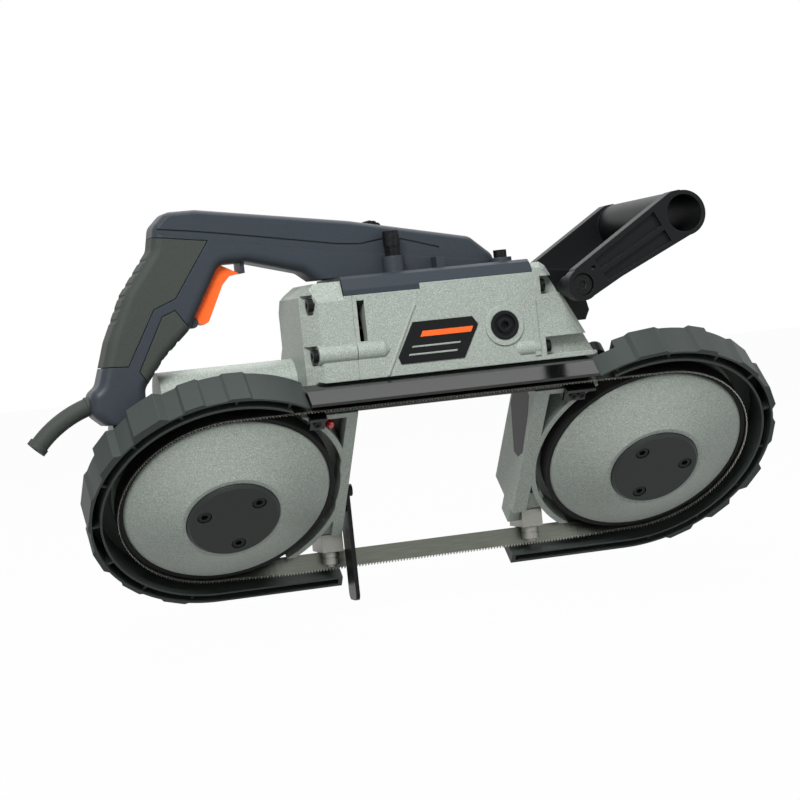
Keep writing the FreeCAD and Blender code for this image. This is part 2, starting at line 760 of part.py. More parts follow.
def gear_case():
    """The cast gear case: motor end cap, layshaft tunnel and worm wheel drum in one casting."""
    body = new_body("end_cap")
    profile = outline(sketch_on(body, "YZ_Plane", "-gear_case_end"), [
        ("-housing_front + casing_chamfer", "housing_bottom"),
        ("-housing_front", "housing_bottom + casing_chamfer"),
        ("-housing_front", "end_top - 14"), ("-housing_front + 6", "end_top"),
        ("housing_back - 12", "end_top"), ("housing_back", "end_top - 16"),
        ("housing_back", "housing_bottom")])
    cap = pad(body, profile, "gear_case_end - housing_half_length")
    left = -size("gear_case_end")
    round_edges(body, cap, "4", lambda edge: edge.BoundBox.XMax < left + 0.01, "Chamfer")
    shaped_cap = cut(body, *end_slopes())
    tunnel_left = f"({REAR} - worm_length / 2 - bearing_width - 8)"
    gear_radius = size("reduction_teeth") * gear_pair()[2] / 2 + 4
    lay_right = f"(-gear_case_end + {LAY_BEARING} + bearing_width + 1)"
    outside = [
        shaped_cap,
        at_worm_axis(cylinder("worm_radius + 7", f"-gear_case_end - {tunnel_left}",
                              (tunnel_left, "0", "0"), "X")),
        at_worm_axis(cylinder(f"{gear_radius} + case_wall", "case_wall + gear_width + 7",
                              ("-gear_case_end", "0", "0"), "X")),
        at_worm_axis(cylinder("worm_shaft_radius + bearing_wall * 0.75 + case_wall",
                              f"{lay_right} + gear_case_end", ("-gear_case_end", "0", "0"), "X")),
        lean(cylinder(f"{DRUM_INNER} + case_wall", "worm_depth + 11 - plate_back",
                      ("0", "0", "-worm_depth - 11")), REAR),
        lean(cylinder(f"{BEARING_RADIUS} + case_wall", "12", ("0", "0", "-worm_depth - 21")), REAR),
        cylinder("motor_shaft_radius + bearing_wall * 0.75 + case_wall", "bearing_width + 1",
                 ("-housing_half_length - 0.5", "0", "motor_height"), "X"),
    ]
    hollow = [
        at_worm_axis(cylinder("worm_radius + 4.5", f"-gear_case_end - {tunnel_left} - bearing_width",
                              (f"{tunnel_left} + bearing_width + 4", "0", "0"), "X")),
        at_worm_axis(cylinder("worm_shaft_radius + bearing_wall * 0.75", "bearing_width + 1",
                              (f"{tunnel_left} + 3.5", "0", "0"), "X")),
        at_worm_axis(cylinder(f"{gear_radius}", "gear_width + 3",
                              ("-gear_case_end + case_wall - 0.5", "0", "0"), "X")),
        at_worm_axis(cylinder("worm_shaft_radius + bearing_wall * 0.75", "bearing_width + 3",
                              (f"-gear_case_end + {LAY_BEARING} - 3", "0", "0"), "X")),
        cylinder("pinion_teeth + 1", "gear_case_end - housing_half_length - case_wall",
                 ("-gear_case_end + case_wall - 0.5", "0", "motor_height"), "X"),
        cylinder("motor_shaft_radius + bearing_wall * 0.75", "bearing_width + 1",
                 ("-housing_half_length + 0.5", "0", "motor_height"), "X"),
        lean(cylinder(DRUM_INNER, "worm_depth + 7 - plate_back", ("0", "0", "-worm_depth - 7")), REAR),
        lean(cylinder(BEARING_RADIUS, "bearing_width + 0.5",
                      ("0", "0", f"-worm_depth - {WHEEL_HALF} - bearing_width - 3")), REAR),
        lean(cylinder("drive_shaft_radius + 1", "40", ("0", "0", "-worm_depth - 45")), REAR),
    ]
    notches = [box(("-gear_case_end - 4", "-housing_front - 6", f"{height} - 7"),
                   ("-gear_case_end + 8", "-housing_front + 11", f"{height} + 7"))
               for height in (CAP_SCREW_HIGH, CAP_SCREW_LOW)]
    bosses = [cylinder("cap_boss_radius", "gear_case_end - 8 - housing_half_length",
                       ("-gear_case_end + 8", SCREW_ROW, CAP_SCREW_LOW), "X")]
    holes = [cylinder("hub_screw_radius + shaft_gap", "gear_case_end - housing_half_length + 4",
                      ("-gear_case_end - 2", SCREW_ROW, height), "X") for height in (CAP_SCREW_HIGH,
                                                                                     CAP_SCREW_LOW)]
    shaft_way = cylinder("motor_shaft_radius + 2", "20",
                         ("-housing_half_length - 10", "0", "motor_height"), "X")
    case = fuse(*outside, *bosses)
    for room in (*hollow, shaft_way, *notches, *holes, channel_room("casing_gap")):
        case = cut(case, room)
    return piece(case, "gear_case")


DRUM_INNER = "(worm_offset - worm_radius + 6)"
CAP_SCREW_HIGH = "(housing_top - 4)"
CAP_SCREW_LOW = "(housing_bottom + 25)"
SCREW_ROW = "(-housing_front + 5)"


def motor_housing():
    """The motor's cast barrel: a bored block with screw bosses, a vent slot and brush openings."""
    body = new_body("barrel")
    profile = outline(sketch_on(body, "YZ_Plane", "-housing_half_length"), [
        ("-housing_front + casing_chamfer", "housing_bottom"),
        ("-housing_front", "housing_bottom + casing_chamfer"),
        ("-housing_front", "housing_top"), ("housing_back", "housing_top"),
        ("housing_back", "housing_bottom + 7"), ("housing_back - 7", "housing_bottom")])
    pad(body, profile, "2 * housing_half_length")
    length = "2 * housing_half_length"
    bosses = [cylinder("cap_boss_radius", "26", ("-housing_half_length", SCREW_ROW, CAP_SCREW_LOW), "X"),
              cone("cap_boss_radius", "cap_boss_radius - 4", "7",
                   ("-housing_half_length + 26", SCREW_ROW, CAP_SCREW_LOW), "X"),
              cylinder("nose_boss_radius", "15", ("housing_half_length - 15", SCREW_ROW, NOSE_SCREW_LOW), "X"),
              cone("nose_boss_radius - 4", "nose_boss_radius", "6",
                   ("housing_half_length - 21", SCREW_ROW, NOSE_SCREW_LOW), "X")]
    crease = new_body("crease")
    pad(crease, outline(sketch_on(crease, "XZ_Plane", "housing_front - 1"), CREASE_OUTLINE), "2")
    bead = box(("housing_half_length - 4", "-housing_front - 1.2", "housing_bottom + 9"),
               ("housing_half_length", "-housing_front + 1", "housing_top - 14"))
    lip = box(("-lip_start + shaft_gap", "-housing_front", "housing_top - 1"),
              ("housing_half_length", "-housing_front + lip_depth - shaft_gap",
               "housing_top + lip_height - shaft_gap"))
    ring_boss = cylinder("brush_cap_radius + 4", "3", ("brush_x", "-housing_front - 1.2", "motor_height"), "Y")
    bore = cylinder("stator_radius", f"{length} + 2", ("-housing_half_length - 1", "0", "motor_height"), "X")
    slot = box(("-62", "-housing_front - 5", "104"), ("-56.5", "-20", "133"))
    far_slot = box(("-62", "20", "104"), ("-56.5", "housing_back + 5", "133"))
    brushes = [cylinder("brush_cap_radius + shaft_gap", "30", ("brush_x", start, "motor_height"), "Y")
               for start in ("-housing_front - 8", "housing_back - 22")]
    seam = cut(box(("-65.3", "-50", "60"), ("-64.7", "50", "150")),
               box(("-66", "-housing_front + 0.5", "60"), ("-64", "housing_back - 0.5", "150")))
    holes = [cylinder("hub_screw_radius + shaft_gap", "26",
                      ("-housing_half_length - 1", SCREW_ROW, CAP_SCREW_LOW), "X"),
             cylinder("hub_screw_radius + shaft_gap", "26",
                      ("-housing_half_length - 1", SCREW_ROW, CAP_SCREW_HIGH), "X"),
             cylinder("hub_screw_radius + shaft_gap", "15",
                      ("housing_half_length - 14", SCREW_ROW, NOSE_SCREW_LOW), "X"),
             cylinder("hub_screw_radius + shaft_gap", "15",
                      ("housing_half_length - 14", SCREW_ROW, NOSE_SCREW_HIGH), "X")]
    housing = cut(fuse(body, crease, bead, lip, ring_boss, *bosses), bore, slot, far_slot, seam, *brushes, *holes,
                  channel_room("casing_gap"))
    return piece(housing, "motor_housing")


CREASE_OUTLINE = [("-20.6", "126.5"), ("-19", "126.5"), ("-43.4", "78"), ("-45", "78")]
NOSE_SCREW_LOW = "(housing_bottom + 15)"
NOSE_SCREW_HIGH = "(housing_top - 6)"


def nose_cover():
    """The wedge-shaped cover on the brush end, with the motor's front bearing seat inside."""
    body = new_body("nose")
    profile = outline(sketch_on(body, "XZ_Plane", "-housing_back"), [
        ("housing_half_length", "housing_bottom"), ("nose_toe", "housing_bottom"),
        ("nose_toe + 1", "housing_bottom + 3"), ("nose_brow", "end_top - 3"),
        ("nose_brow - 4", "end_top"), ("housing_half_length", "end_top")])
    wedge = pad(body, profile, "housing_front + housing_back")
    front = -size("housing_front")
    round_edges(body, wedge, "4", lambda edge: edge.BoundBox.YMax < front + 0.01
                and edge.BoundBox.XMax > size("housing_half_length") + 1
                and edge.BoundBox.ZMax > size("housing_bottom") + 1, "Chamfer")
    inside = "(housing_half_length - bearing_width - 4)"
    seat = cylinder("motor_shaft_radius + bearing_wall * 0.75 + case_wall",
                    f"housing_half_length - {inside} + 1",
                    (inside, "0", "motor_height"), "X")
    bore = cylinder("motor_shaft_radius + bearing_wall * 0.75", f"housing_half_length - {inside} - 1",
                    (f"{inside} - 1", "0", "motor_height"), "X")
    hollow = box(("housing_half_length + 3", "-housing_front + 12", "housing_bottom + 5"),
                 ("nose_brow - 3", "housing_back - 12", "motor_height - 16"))
    notches = [box(("housing_half_length + 5", "-housing_front - 6", f"{height} - 6.5"),
                   ("nose_toe + 4", "-housing_front + 10", f"{height} + 6.5"))
               for height in (NOSE_SCREW_LOW, NOSE_SCREW_HIGH)]
    holes = [cylinder("hub_screw_radius + shaft_gap", "8", ("housing_half_length - 1", SCREW_ROW, height),
                      "X")
             for height in (NOSE_SCREW_LOW, NOSE_SCREW_HIGH)]
    cover = cut(fuse(body, seat), bore, hollow, *notches, *holes, channel_room("casing_gap"))
    return piece(cover, "nose_cover")


def top_cover():
    """The plastic cover on the motor: a shallow lid with a stepped front lip and four screw bosses."""
    body = new_body("lid")
    profile = outline(sketch_on(body, "YZ_Plane", "-housing_half_length + 0.5"), [
        ("-housing_front", "housing_top"), ("-housing_front", "housing_top + 4"),
        ("-housing_front + 4", "cover_top - 2"), ("-housing_front + 7", "cover_top"),
        ("housing_back - 7", "cover_top"), ("housing_back", "cover_top - 5"),
        ("housing_back", "housing_top")])
    pad(body, profile, "2 * housing_half_length - 1")
    step = box(("-lip_start", "-housing_front - 1", "housing_top - 1"),
               ("housing_half_length + 1", "-housing_front + lip_depth", "housing_top + lip_height"))
    bosses = []
    holes = []
    for across in (COVER_BOSS_REAR, COVER_BOSS_FRONT):
        for side in ("-25", "25"):
            rise = "11.5" if across == COVER_BOSS_REAR else "3"
            bosses.append(cylinder("8", f"{rise} + 2", (across, side, "cover_top - 2"), "Z"))
            holes.append(cylinder("hub_screw_radius + shaft_gap", "40", (across, side, "housing_top - 1"),
                                  "Z"))
    gusset = box(("3", "-30", "cover_top - 1"), ("10", "-handle_half_width - 0.2", "cover_top + 8"))
    inside = box(("-housing_half_length + 4", "-housing_front + 6", "housing_top - 1"),
                 ("housing_half_length - 4", "housing_back - 6", "cover_top - 3"))
    pillars = [cylinder("7.6", "cover_top - housing_top", (across, side, "housing_top"), "Z")
               for across in (COVER_BOSS_REAR, COVER_BOSS_FRONT) for side in ("-25", "25")]
    lid = cut(fuse(cut(body, step, inside), *pillars, *bosses, gusset), *holes)
    return piece(lid, "top_cover")


COVER_BOSS_REAR = "(-27.5)"
COVER_BOSS_FRONT = "(53)"


def cover_screws():
    """The cover's screws: two tall studs at the rear, two short heads at the front."""
    screws = []
    for side in ("-25", "25"):
        stem = cylinder("hub_screw_radius", "cover_top + 12 - housing_top",
                        (COVER_BOSS_REAR, side, "housing_top"))
        collar = hexagon("5.6", "7", (COVER_BOSS_REAR, side, "cover_top + 11.5"))
        post = cylinder("6", "11", (COVER_BOSS_REAR, side, "cover_top + 18.5"))
        screws.append(fuse(stem, collar, post))
        stem = cylinder("hub_screw_radius", "cover_top + 3.2 - housing_top",
                        (COVER_BOSS_FRONT, side, "housing_top"))
        head = cylinder("4.8", "5.5", (COVER_BOSS_FRONT, side, "cover_top + 3"))
        recess = hexagon("hex_recess_radius", "3", (COVER_BOSS_FRONT, side, "cover_top + 6"))
        screws.append(cut(fuse(stem, head), recess))
    return piece(group(*screws), "cover_screws")


def brush_caps():
    """The two screw-in brush caps, with a turning slot and a stepped face."""
    caps = []
    for outer, inner in (("-housing_front - 1.6", "-commutator_radius - 15"),
                         ("housing_back + 0.6", "commutator_radius + 13")):
        low, high = (outer, inner) if outer.startswith("-") else (inner, outer)
        cap = cylinder("brush_cap_radius", f"({high}) - ({low})", ("brush_x", low, "motor_height"), "Y")
        face = outer if outer.startswith("-") else f"({outer}) - 2.4"
        dish = ring("brush_cap_radius - 2.5", "5", "2.4", ("brush_x", face, "motor_height"), "Y")
        middle = outer if outer.startswith("-") else f"({outer}) - 4"
        well = cylinder("3", "4", ("brush_x", middle, "motor_height"), "Y")
        caps.append(cut(cap, dish, well))
    return piece(group(*caps), "brush_caps")


def carbon_brushes():
    """The two carbon brushes between their caps and the commutator."""
    near = box(("brush_x - 4", "-commutator_radius - 15", "motor_height - 3"),
               ("brush_x + 4", "-commutator_radius - running_gap", "motor_height + 3"))
    far = box(("brush_x - 4", "commutator_radius + running_gap", "motor_height - 3"),
              ("brush_x + 4", "commutator_radius + 13", "motor_height + 3"))
    return piece(group(near, far), "carbon_brushes")


def socket_screws():
    """The socket screws of the casings, the bail pivots and the work stop."""
    screws = [cap_screw(("-gear_case_end + 8", SCREW_ROW, height), "X",
                        "gear_case_end - housing_half_length + 12", -1)
              for height in (CAP_SCREW_HIGH, CAP_SCREW_LOW)]
    screws += [cap_screw(("housing_half_length + 5", SCREW_ROW, height), "X", "17")
               for height in (NOSE_SCREW_HIGH, NOSE_SCREW_LOW)]
    for start, end in (("-(bail_half_width - 4.3)", -1), ("bail_half_width - 4.3", 1)):
        seat = start if end > 0 else f"{start} - 2.5"
        head = cylinder("7.4", "2.5", ("bail_pivot_x", seat, "bail_pivot_z"), "Y")
        stem_at = f"{start} - 11" if end > 0 else start
        stem = cylinder("hub_screw_radius", "11", ("bail_pivot_x", stem_at, "bail_pivot_z"), "Y")
        recess_at = f"{start} + 1" if end > 0 else f"{start} - 2.6"
        screws.append(cut(fuse(head, stem),
            hexagon("hex_recess_radius + 0.6", "1.6", ("bail_pivot_x", recess_at, "bail_pivot_z"), "Y")))
    screws.append(cap_screw(("-throat_rear + 4 + stop_thickness + 0.1", STOP_Y, STOP_SCREW_Z), "X",
                            "stop_thickness + 14"))
    return piece(group(*screws), "socket_screws")


def rating_plate():
    """The bare plate on the housing's near side."""
    body = new_body("plate")
    profile = outline(sketch_on(body, "XZ_Plane", "housing_front"), [
        ("-22.6", "114"), ("22", "114"), ("26", "108"), ("13.4", "85"), ("-33.8", "85"), ("-35.6", "90")])
    pad(body, profile, "0.8")
    return piece(body, "rating_plate")


def guard_form(side, radius, low, high, reach):
    """A wheel's disc and the straight run below it towards the throat, ending short of the foot or past it."""
    at_x = REAR if side < 0 else FRONT
    foot_x = f"({side} * ({GUARD_FOOT} - ({reach})))"
    low_x, high_x = (at_x, foot_x) if side < 0 else (foot_x, at_x)
    return fuse(cylinder(radius, f"{high} - ({low})", (at_x, "0", low)),
                box((low_x, f"-({radius})", low), (high_x, "1", high)))


def throat_side(side, from_axis):
    """All that lies nearer the throat than a distance from the wheel's axis, above the guard's foot."""
    low_x, high_x = (f"{REAR} + {from_axis}", "0") if side < 0 else ("0", f"{FRONT} - {from_axis}")
    return box((low_x, "-guard_inner", f"-{GUARD_BACK} - 1"), (high_x, "130", "guard_front + 1"))


def wheel_guard(label, side):
    """A wheel's guard: two walls round the wheel with ribs between them, a back flange and outer blocks."""
    at_x = REAR if side < 0 else FRONT
    back = f"-{GUARD_BACK}"
    floor = f"{back} + guard_floor"
    blocks = [guard_block(at_x, turn, span, rise) for turn, span, rise in GUARD_BLOCKS[side]]
    outside = fuse(guard_form(side, "guard_outer", back, "guard_front", "0"), *blocks)
    room = guard_form(side, "guard_inner", f"{back} - 1", "guard_front + 1", "5")
    hollow = cut(guard_form(side, "guard_outer - guard_wall", floor, "guard_front + 2", "-3"),
                 guard_form(side, "guard_inner + guard_wall", f"{floor} - 1", "guard_front + 3", "5"))
    window = box(("-120", "channel_bottom", back), ("120", "channel_top - channel_wall", "guard_front + 1"))
    shell = cut(outside, room, throat_side(side, GUARD_END), window, hollow)
    flange = cut(ring("guard_outer - 1", "flange_inner", "guard_floor", (at_x, "0", back)),
                 throat_side(side, FLANGE_END))
    ribs = [guard_rib(at_x, RIB_FIRST[side] - side * RIB_STEP * index) for index in range(RIB_COUNT)]
    guard = fuse(shell, flange, *ribs)
    if side > 0:
        guard = cut(guard, box(("0", "50", f"{back} - 1"), (f"{FRONT} - 36", "130", "-17")))
    return piece(lean(guard), label)


GUARD_BACK = "(plate_back - plate_thickness)"
GUARD_END = "53"
FLANGE_END = "48"
GUARD_FOOT = "67"
RIB_COUNT = 9
RIB_STEP = 24.0
RIB_FIRST = {-1: 66.0, 1: 114.0}
GUARD_BLOCKS = {
    -1: [(89, 10, 1.5), (107.5, 9, 2), (127, 15, 5), (150, 12, 4), (177, 20, 1.5), (205, 14, 2.5),
         (228, 12, 1.5), (250, 12, 1.5)],
    1: [(98, 14, 2), (73, 10, 2.5), (48, 14, 2), (26, 14, 3), (4, 14, 2), (-23, 14, 4.5), (-44, 12, 4),
        (-64, 12, 3)],
}
BLOCK_SLOPE = 1.25
BLOCK_TOP = 0.8


def guard_block(at_x, turn, span, rise):
    """A raised block on a guard's outer wall, its sides sloped, at an angle round the wheel."""
    body = new_body("block")
    half = math.radians(span) / 2
    root, reach = "(guard_outer - 1)", f"(guard_outer + {rise})"
    corners = []
    for radius, part in ((root, -BLOCK_SLOPE), (reach, -BLOCK_TOP), (reach, BLOCK_TOP), (root, BLOCK_SLOPE)):
        angle = math.radians(turn) + part * half
        corners.append((f"{at_x} + {radius} * {math.cos(angle):.6f}", f"{radius} * {math.sin(angle):.6f}"))
    sketch = outline(sketch_on(body, "XY_Plane", f"-{GUARD_BACK}"), corners)
    pad(body, sketch, f"guard_front + {GUARD_BACK}")
    return body


def guard_rib(at_x, turn):
    """A thin rib that ties a guard's two walls, at an angle round the wheel."""
    rib = box(("guard_inner + 1", "-1", f"-{GUARD_BACK} + 1"), ("guard_outer - 1", "1", "guard_front - 3"))
    turned = group(rib)
    turned.Placement.Rotation = FreeCAD.Rotation(Vector(0, 0, 1), turn)
    turned.setExpression("Placement.Base.x", formula(at_x))
    return turned


def tab_block(index, low, high):
    """The space of one of the channel's tabs, between two depths."""
    low_x, high_x = TAB_ENDS[index]
    return box((low_x, "channel_bottom - tab_height", low), (high_x, "channel_bottom", high))


def blade_channel():
    """The black trough that the upper run of the blade passes through, with a screw tab at each end."""
    half = "channel_half_length"
    high = "guard_front"
    block = channel_bar(half, "0", high)
    trough = channel_bar(f"{half} + 1", "channel_wall", f"{high} + 1")
    lip = box((f"{TAB_ENDS[0][1]}", "channel_bottom - 1", "-channel_lip"),
              (f"{TAB_ENDS[1][0]}", "channel_bottom + channel_wall + 1", f"{high} + 1"))
    tabs = [tab_block(index, "-leg_front", "-leg_front + tab_thickness") for index in range(len(TAB_ENDS))]
    holes = [cylinder("1.6", "tab_thickness + 2", (at_x, TAB_SCREW_LINE, "-leg_front - 1"))
             for at_x in TAB_SCREWS]
    return piece(lean(cut(fuse(cut(block, trough, lip), *tabs), *holes)), "blade_channel")


TAB_ENDS = ((f"{REAR} + 55", f"{REAR} + 66"), (f"{FRONT} - 76", f"{FRONT} - 59.5"))
TAB_SCREWS = (f"{REAR} + 60", f"{FRONT} - 69.2", f"{FRONT} - 63")
TAB_SCREW_LINE = "channel_bottom - 4.5"


def tab_screws():
    """The pan-head screws of the channel's tabs."""
    screws = []
    for at_x in TAB_SCREWS:
        stem = cylinder("1.55", "tab_thickness + 0.6", (at_x, TAB_SCREW_LINE, "-leg_front - 0.6"))
        head = cylinder("2.9", "1.6", (at_x, TAB_SCREW_LINE, "-leg_front + tab_thickness"))
        recess = hexagon("1.5", "1.5", (at_x, TAB_SCREW_LINE, "-leg_front + tab_thickness + 0.6"))
        screws.append(cut(fuse(stem, head), recess))
    return piece(lean(group(*screws)), "tab_screws")


SHIELD_OUTLINE = [("58", "-14"), ("43", "-10"), ("8", "-6.5"), ("-2.3", "-13"), ("-4.3", "-21.4"),
                  ("18", "-37.7"), ("26", "-43"), ("58", "-43")]


def shield_space():
    """The space of the black shield, let into the front leg's throat side."""
    body = new_body("shield")
    pad(body, outline(sketch_on(body, "YZ_Plane", "throat_front"), SHIELD_OUTLINE), "shield_thickness")
    return lean(body)


def leg_shield():
    """The black sheet shield on the throat side of the front leg."""
    return piece(shield_space(), "leg_shield")


def main_frame():
    """The cast frame: a plate behind each wheel, legs beside the throat, a bridge and the motor's deck."""
    back = "-plate_back"
    front = "-plate_back + plate_thickness"
    parts = []
    for side, at_x, throat in ((-1, REAR, "throat_rear"), (1, FRONT, "throat_front")):
        face = f"({side} * {throat})"
        behind = f"({side} * ({throat} + leg_wall))"
        low_wall, high_wall = (behind, face) if side < 0 else (face, behind)
        parts.append(cylinder(PLATE_RADIUS, "plate_thickness", (at_x, "0", back)))
        parts.append(cylinder(f"{BEARING_RADIUS} + 5", "plate_thickness + 9", (at_x, "0", "-plate_back - 5"))
                     if side < 0 else cylinder("20", "plate_thickness", (at_x, "0", back)))
        web_x = (at_x, face) if side < 0 else (face, at_x)
        parts.append(box((web_x[0], "-50", back), (web_x[1], BRIDGE_TOP, front)))
        parts.append(box((low_wall, "-52", "-leg_back"), (high_wall, BRIDGE_TOP, "-leg_front")))
        strip_x = (f"{face} - rear_strip", face) if side < 0 else (face, f"{face} + front_strip")
        parts.append(box((strip_x[0], "-52", "-leg_front - strip_depth"),
                         (strip_x[1], "channel_bottom", "-leg_front")))
        parts.append(tab_block(0 if side < 0 else 1, "-leg_front - 8", "-leg_front"))
        top_x = (f"{at_x} + 59", face) if side < 0 else (face, f"{at_x} - 59")
        parts.append(box((top_x[0], "channel_bottom - 4", back), (top_x[1], "channel_bottom", "-leg_front")))
        arc = ring(f"{PLATE_RADIUS} + leg_wall", PLATE_RADIUS, "plate_back - leg_front", (at_x, "0", back))
        keep = (f"{at_x} + 30", f"{face}") if side < 0 else (f"{face}", f"{at_x} - 30")
        parts.append(common(arc, box((keep[0], "-70", "-plate_back - 1"), (keep[1], "channel_bottom", "0"))))
        guide_x = "(-rear_guide_x)" if side < 0 else "front_guide_x"
        arm_x = (f"{guide_x} - guide_block_width / 2", face)
        if side > 0:
            arm_x = (face, f"{guide_x} + guide_block_width / 2")
        parts.append(box((arm_x[0], "-66", "-24"), (arm_x[1], "-38", "-9")))
    parts.append(box(("-channel_half_length + 2", BRIDGE_LOW, back),
                     ("channel_half_length - 2", BRIDGE_TOP, front)))
    leaning = lean(fuse(*parts))
    deck = box(("-gear_case_end + 26", "-20", "housing_bottom - 7"),
               ("nose_toe - 2", "housing_back", "housing_bottom"))
    foot = lean(box((f"{REAR} - 76", "20", "-plate_back - 28"), (f"{REAR} - 51", "46", back)))
    trim = box((f"{REAR} - 90", "-40", HANDLE_FOOT), (f"{REAR} - 30", "40", f"{HANDLE_FOOT} + 60"))
    clear = [lean(cylinder(BEARING_RADIUS, "bearing_width + 4", (REAR, "0", "-plate_back - 8"))),
             lean(cylinder("drive_shaft_radius + 5", "30", (REAR, "0", "-plate_back - 4"))),
             lean(fuse(cylinder("idler_axle_radius + 1", "40", (FRONT, "0", "-plate_back - 10")),
                       cylinder("idler_axle_radius + 1", "40",
                                (f"{FRONT} - tension_travel", "0", "-plate_back - 10")),
                       box((f"{FRONT} - tension_travel", "-idler_axle_radius - 1", "-plate_back - 10"),
                           (FRONT, "idler_axle_radius + 1", "-10")))),
             guide_seat("(-rear_guide_x)"), guide_seat("front_guide_x")]
    wheel_room = [lean(cylinder(f"{PLATE_RADIUS} - 2", "30", (at_x, "0", f"-{GUARD_BACK}")))
                  for at_x in (REAR, FRONT)]
    frame = cut(cut(fuse(leaning, cut(foot, trim)), *wheel_room), *clear)
    above = box(("-gear_case_end - 1", "-60", "housing_bottom"), ("nose_toe + 5", "80", "housing_top"))
    whole = cut(fuse(frame, deck), above, channel_room("0"), shield_space())
    slot = cylinder("hub_screw_radius + shaft_gap", "30", ("-throat_rear - 12", STOP_Y, STOP_SCREW_Z), "X")
    taps = [lean(cylinder("1.6", "6", (at_x, TAB_SCREW_LINE, "-leg_front - 2"))) for at_x in TAB_SCREWS]
    return piece(cut(whole, slot, *taps), "main_frame")


PLATE_RADIUS = "(blade_radius + blade_gauge + tension_travel + plate_gap)"
BRIDGE_TOP = "(channel_bottom + 3)"
BRIDGE_LOW = "(channel_bottom - 12)"
HANDLE_FOOT = "64"
STOP_Y = "40"
STOP_SCREW_Z = "-4"


def blade_centre():
    """Height and depth of the blade's middle line where it crosses the throat, upright."""
    middle = wheel_to_body(0, -size("blade_radius") - size("blade_gauge") / 2, -size("blade_width") / 2)
    return middle.y, middle.z


def guide_sizes():
    """Named places of a guide, worked out from the blade: its line, block and rollers."""
    line_y, line_z = blade_centre()
    gap = size("running_gap")
    back_edge = line_z + size("blade_width") / 2
    side_step = size("blade_gauge") / 2 + gap + size("roller_radius")
    block_low = back_edge + gap
    return {"line_y": line_y, "back_edge": back_edge, "near_y": line_y - side_step,
            "far_y": line_y + side_step,
            "block_low": block_low, "back_z": back_edge + gap + size("back_roller_radius")}


def guide_box(at_x, growth):
    """The space of a guide block, grown by a clearance."""
    spots = guide_sizes()
    half_depth = size("roller_radius") + size("blade_gauge") / 2 + size("guide_pin_radius") + 6
    return box((f"{at_x} - guide_block_width / 2 - {growth}", f"{spots['line_y'] - half_depth - growth}",
                f"{spots['block_low'] - growth}"),
               (f"{at_x} + guide_block_width / 2 + {growth}", f"{spots['line_y'] + half_depth + growth}",
                f"{spots['block_low'] + growth} + guide_block_height"))


def guide_seat(at_x):
    """The room that the frame leaves for a guide block and the rollers below it."""
    spots = guide_sizes()
    below = box((f"{at_x} - guide_block_width / 2 - 2", f"{spots['line_y'] - 22}",
                 f"{spots['block_low'] - 40}"),
                (f"{at_x} + guide_block_width / 2 + 2", f"{spots['line_y'] + 30}",
                 f"{spots['block_low'] + 0.1}"))
    return fuse(guide_box(at_x, 0.0), below)


def guide_block(label, at_x):
    """A steel guide block with a slot for its back roller and bores for the roller pins."""
    spots = guide_sizes()
    slot = box((f"{at_x} - back_roller_radius - 0.7", f"{spots['line_y']} - back_roller_width / 2 - 0.3",
                f"{spots['block_low'] - 1}"),
               (f"{at_x} + back_roller_radius + 0.7", f"{spots['line_y']} + back_roller_width / 2 + 0.3",
                f"{spots['back_z']} + back_roller_radius + 0.7"))
    bores = [cylinder("guide_pin_radius", "guide_block_height - 2",
                      (at_x, f"{spots[key]}", f"{spots['block_low'] - 1}"))
             for key in ("near_y", "far_y")]
    cross = cylinder("guide_pin_radius", "back_roller_width + 8",
                     (at_x, f"{spots['line_y']} - back_roller_width / 2 - 4", f"{spots['back_z']}"), "Y")
    return piece(cut(guide_box(at_x, 0.0), slot, *bores, cross), label)


def guide_pins():
    """The pins that carry the guide rollers."""
    spots = guide_sizes()
    pins = []
    for at_x in ("(-rear_guide_x)", "front_guide_x"):
        for key in ("near_y", "far_y"):
            low = f"{spots['block_low']} - roller_height - 2 * running_gap"
            stem = cylinder("guide_pin_radius", "roller_height + guide_block_height - 3",
                            (at_x, f"{spots[key]}", low))
            head = cylinder("guide_pin_radius + 1.5", "1.5", (at_x, f"{spots[key]}", f"{low} - 1.5"))
            pins.append(fuse(stem, head))
        pins.append(cylinder("guide_pin_radius", "back_roller_width + 8",
                             (at_x, f"{spots['line_y']} - back_roller_width / 2 - 4",
                              f"{spots['back_z']}"), "Y"))
    return piece(group(*pins), "guide_pins")


def side_roller(label, at_x, key):
    """A side guide roller: a ball bearing on an upright pin, with a groove round its middle."""
    spots = guide_sizes()
    low = f"{spots['block_low']} - roller_height - running_gap"
    at = (at_x, f"{spots[key]}", low)
    body = ring("roller_radius", "guide_pin_radius + shaft_gap", "roller_height", at)
    groove = ring("roller_radius + 1", "roller_radius - 0.5", "0.8",
                  (at_x, f"{spots[key]}", f"{low} + roller_height / 2"))
    return piece(cut(body, groove), label)


def back_roller(label, at_x):
    """The roller that takes the push on the blade's back edge."""
    spots = guide_sizes()
    at = (at_x, f"{spots['line_y']} - back_roller_width / 2", f"{spots['back_z']}")
    return piece(ring("back_roller_radius", "guide_pin_radius + shaft_gap", "back_roller_width", at, "Y"),
                 label)


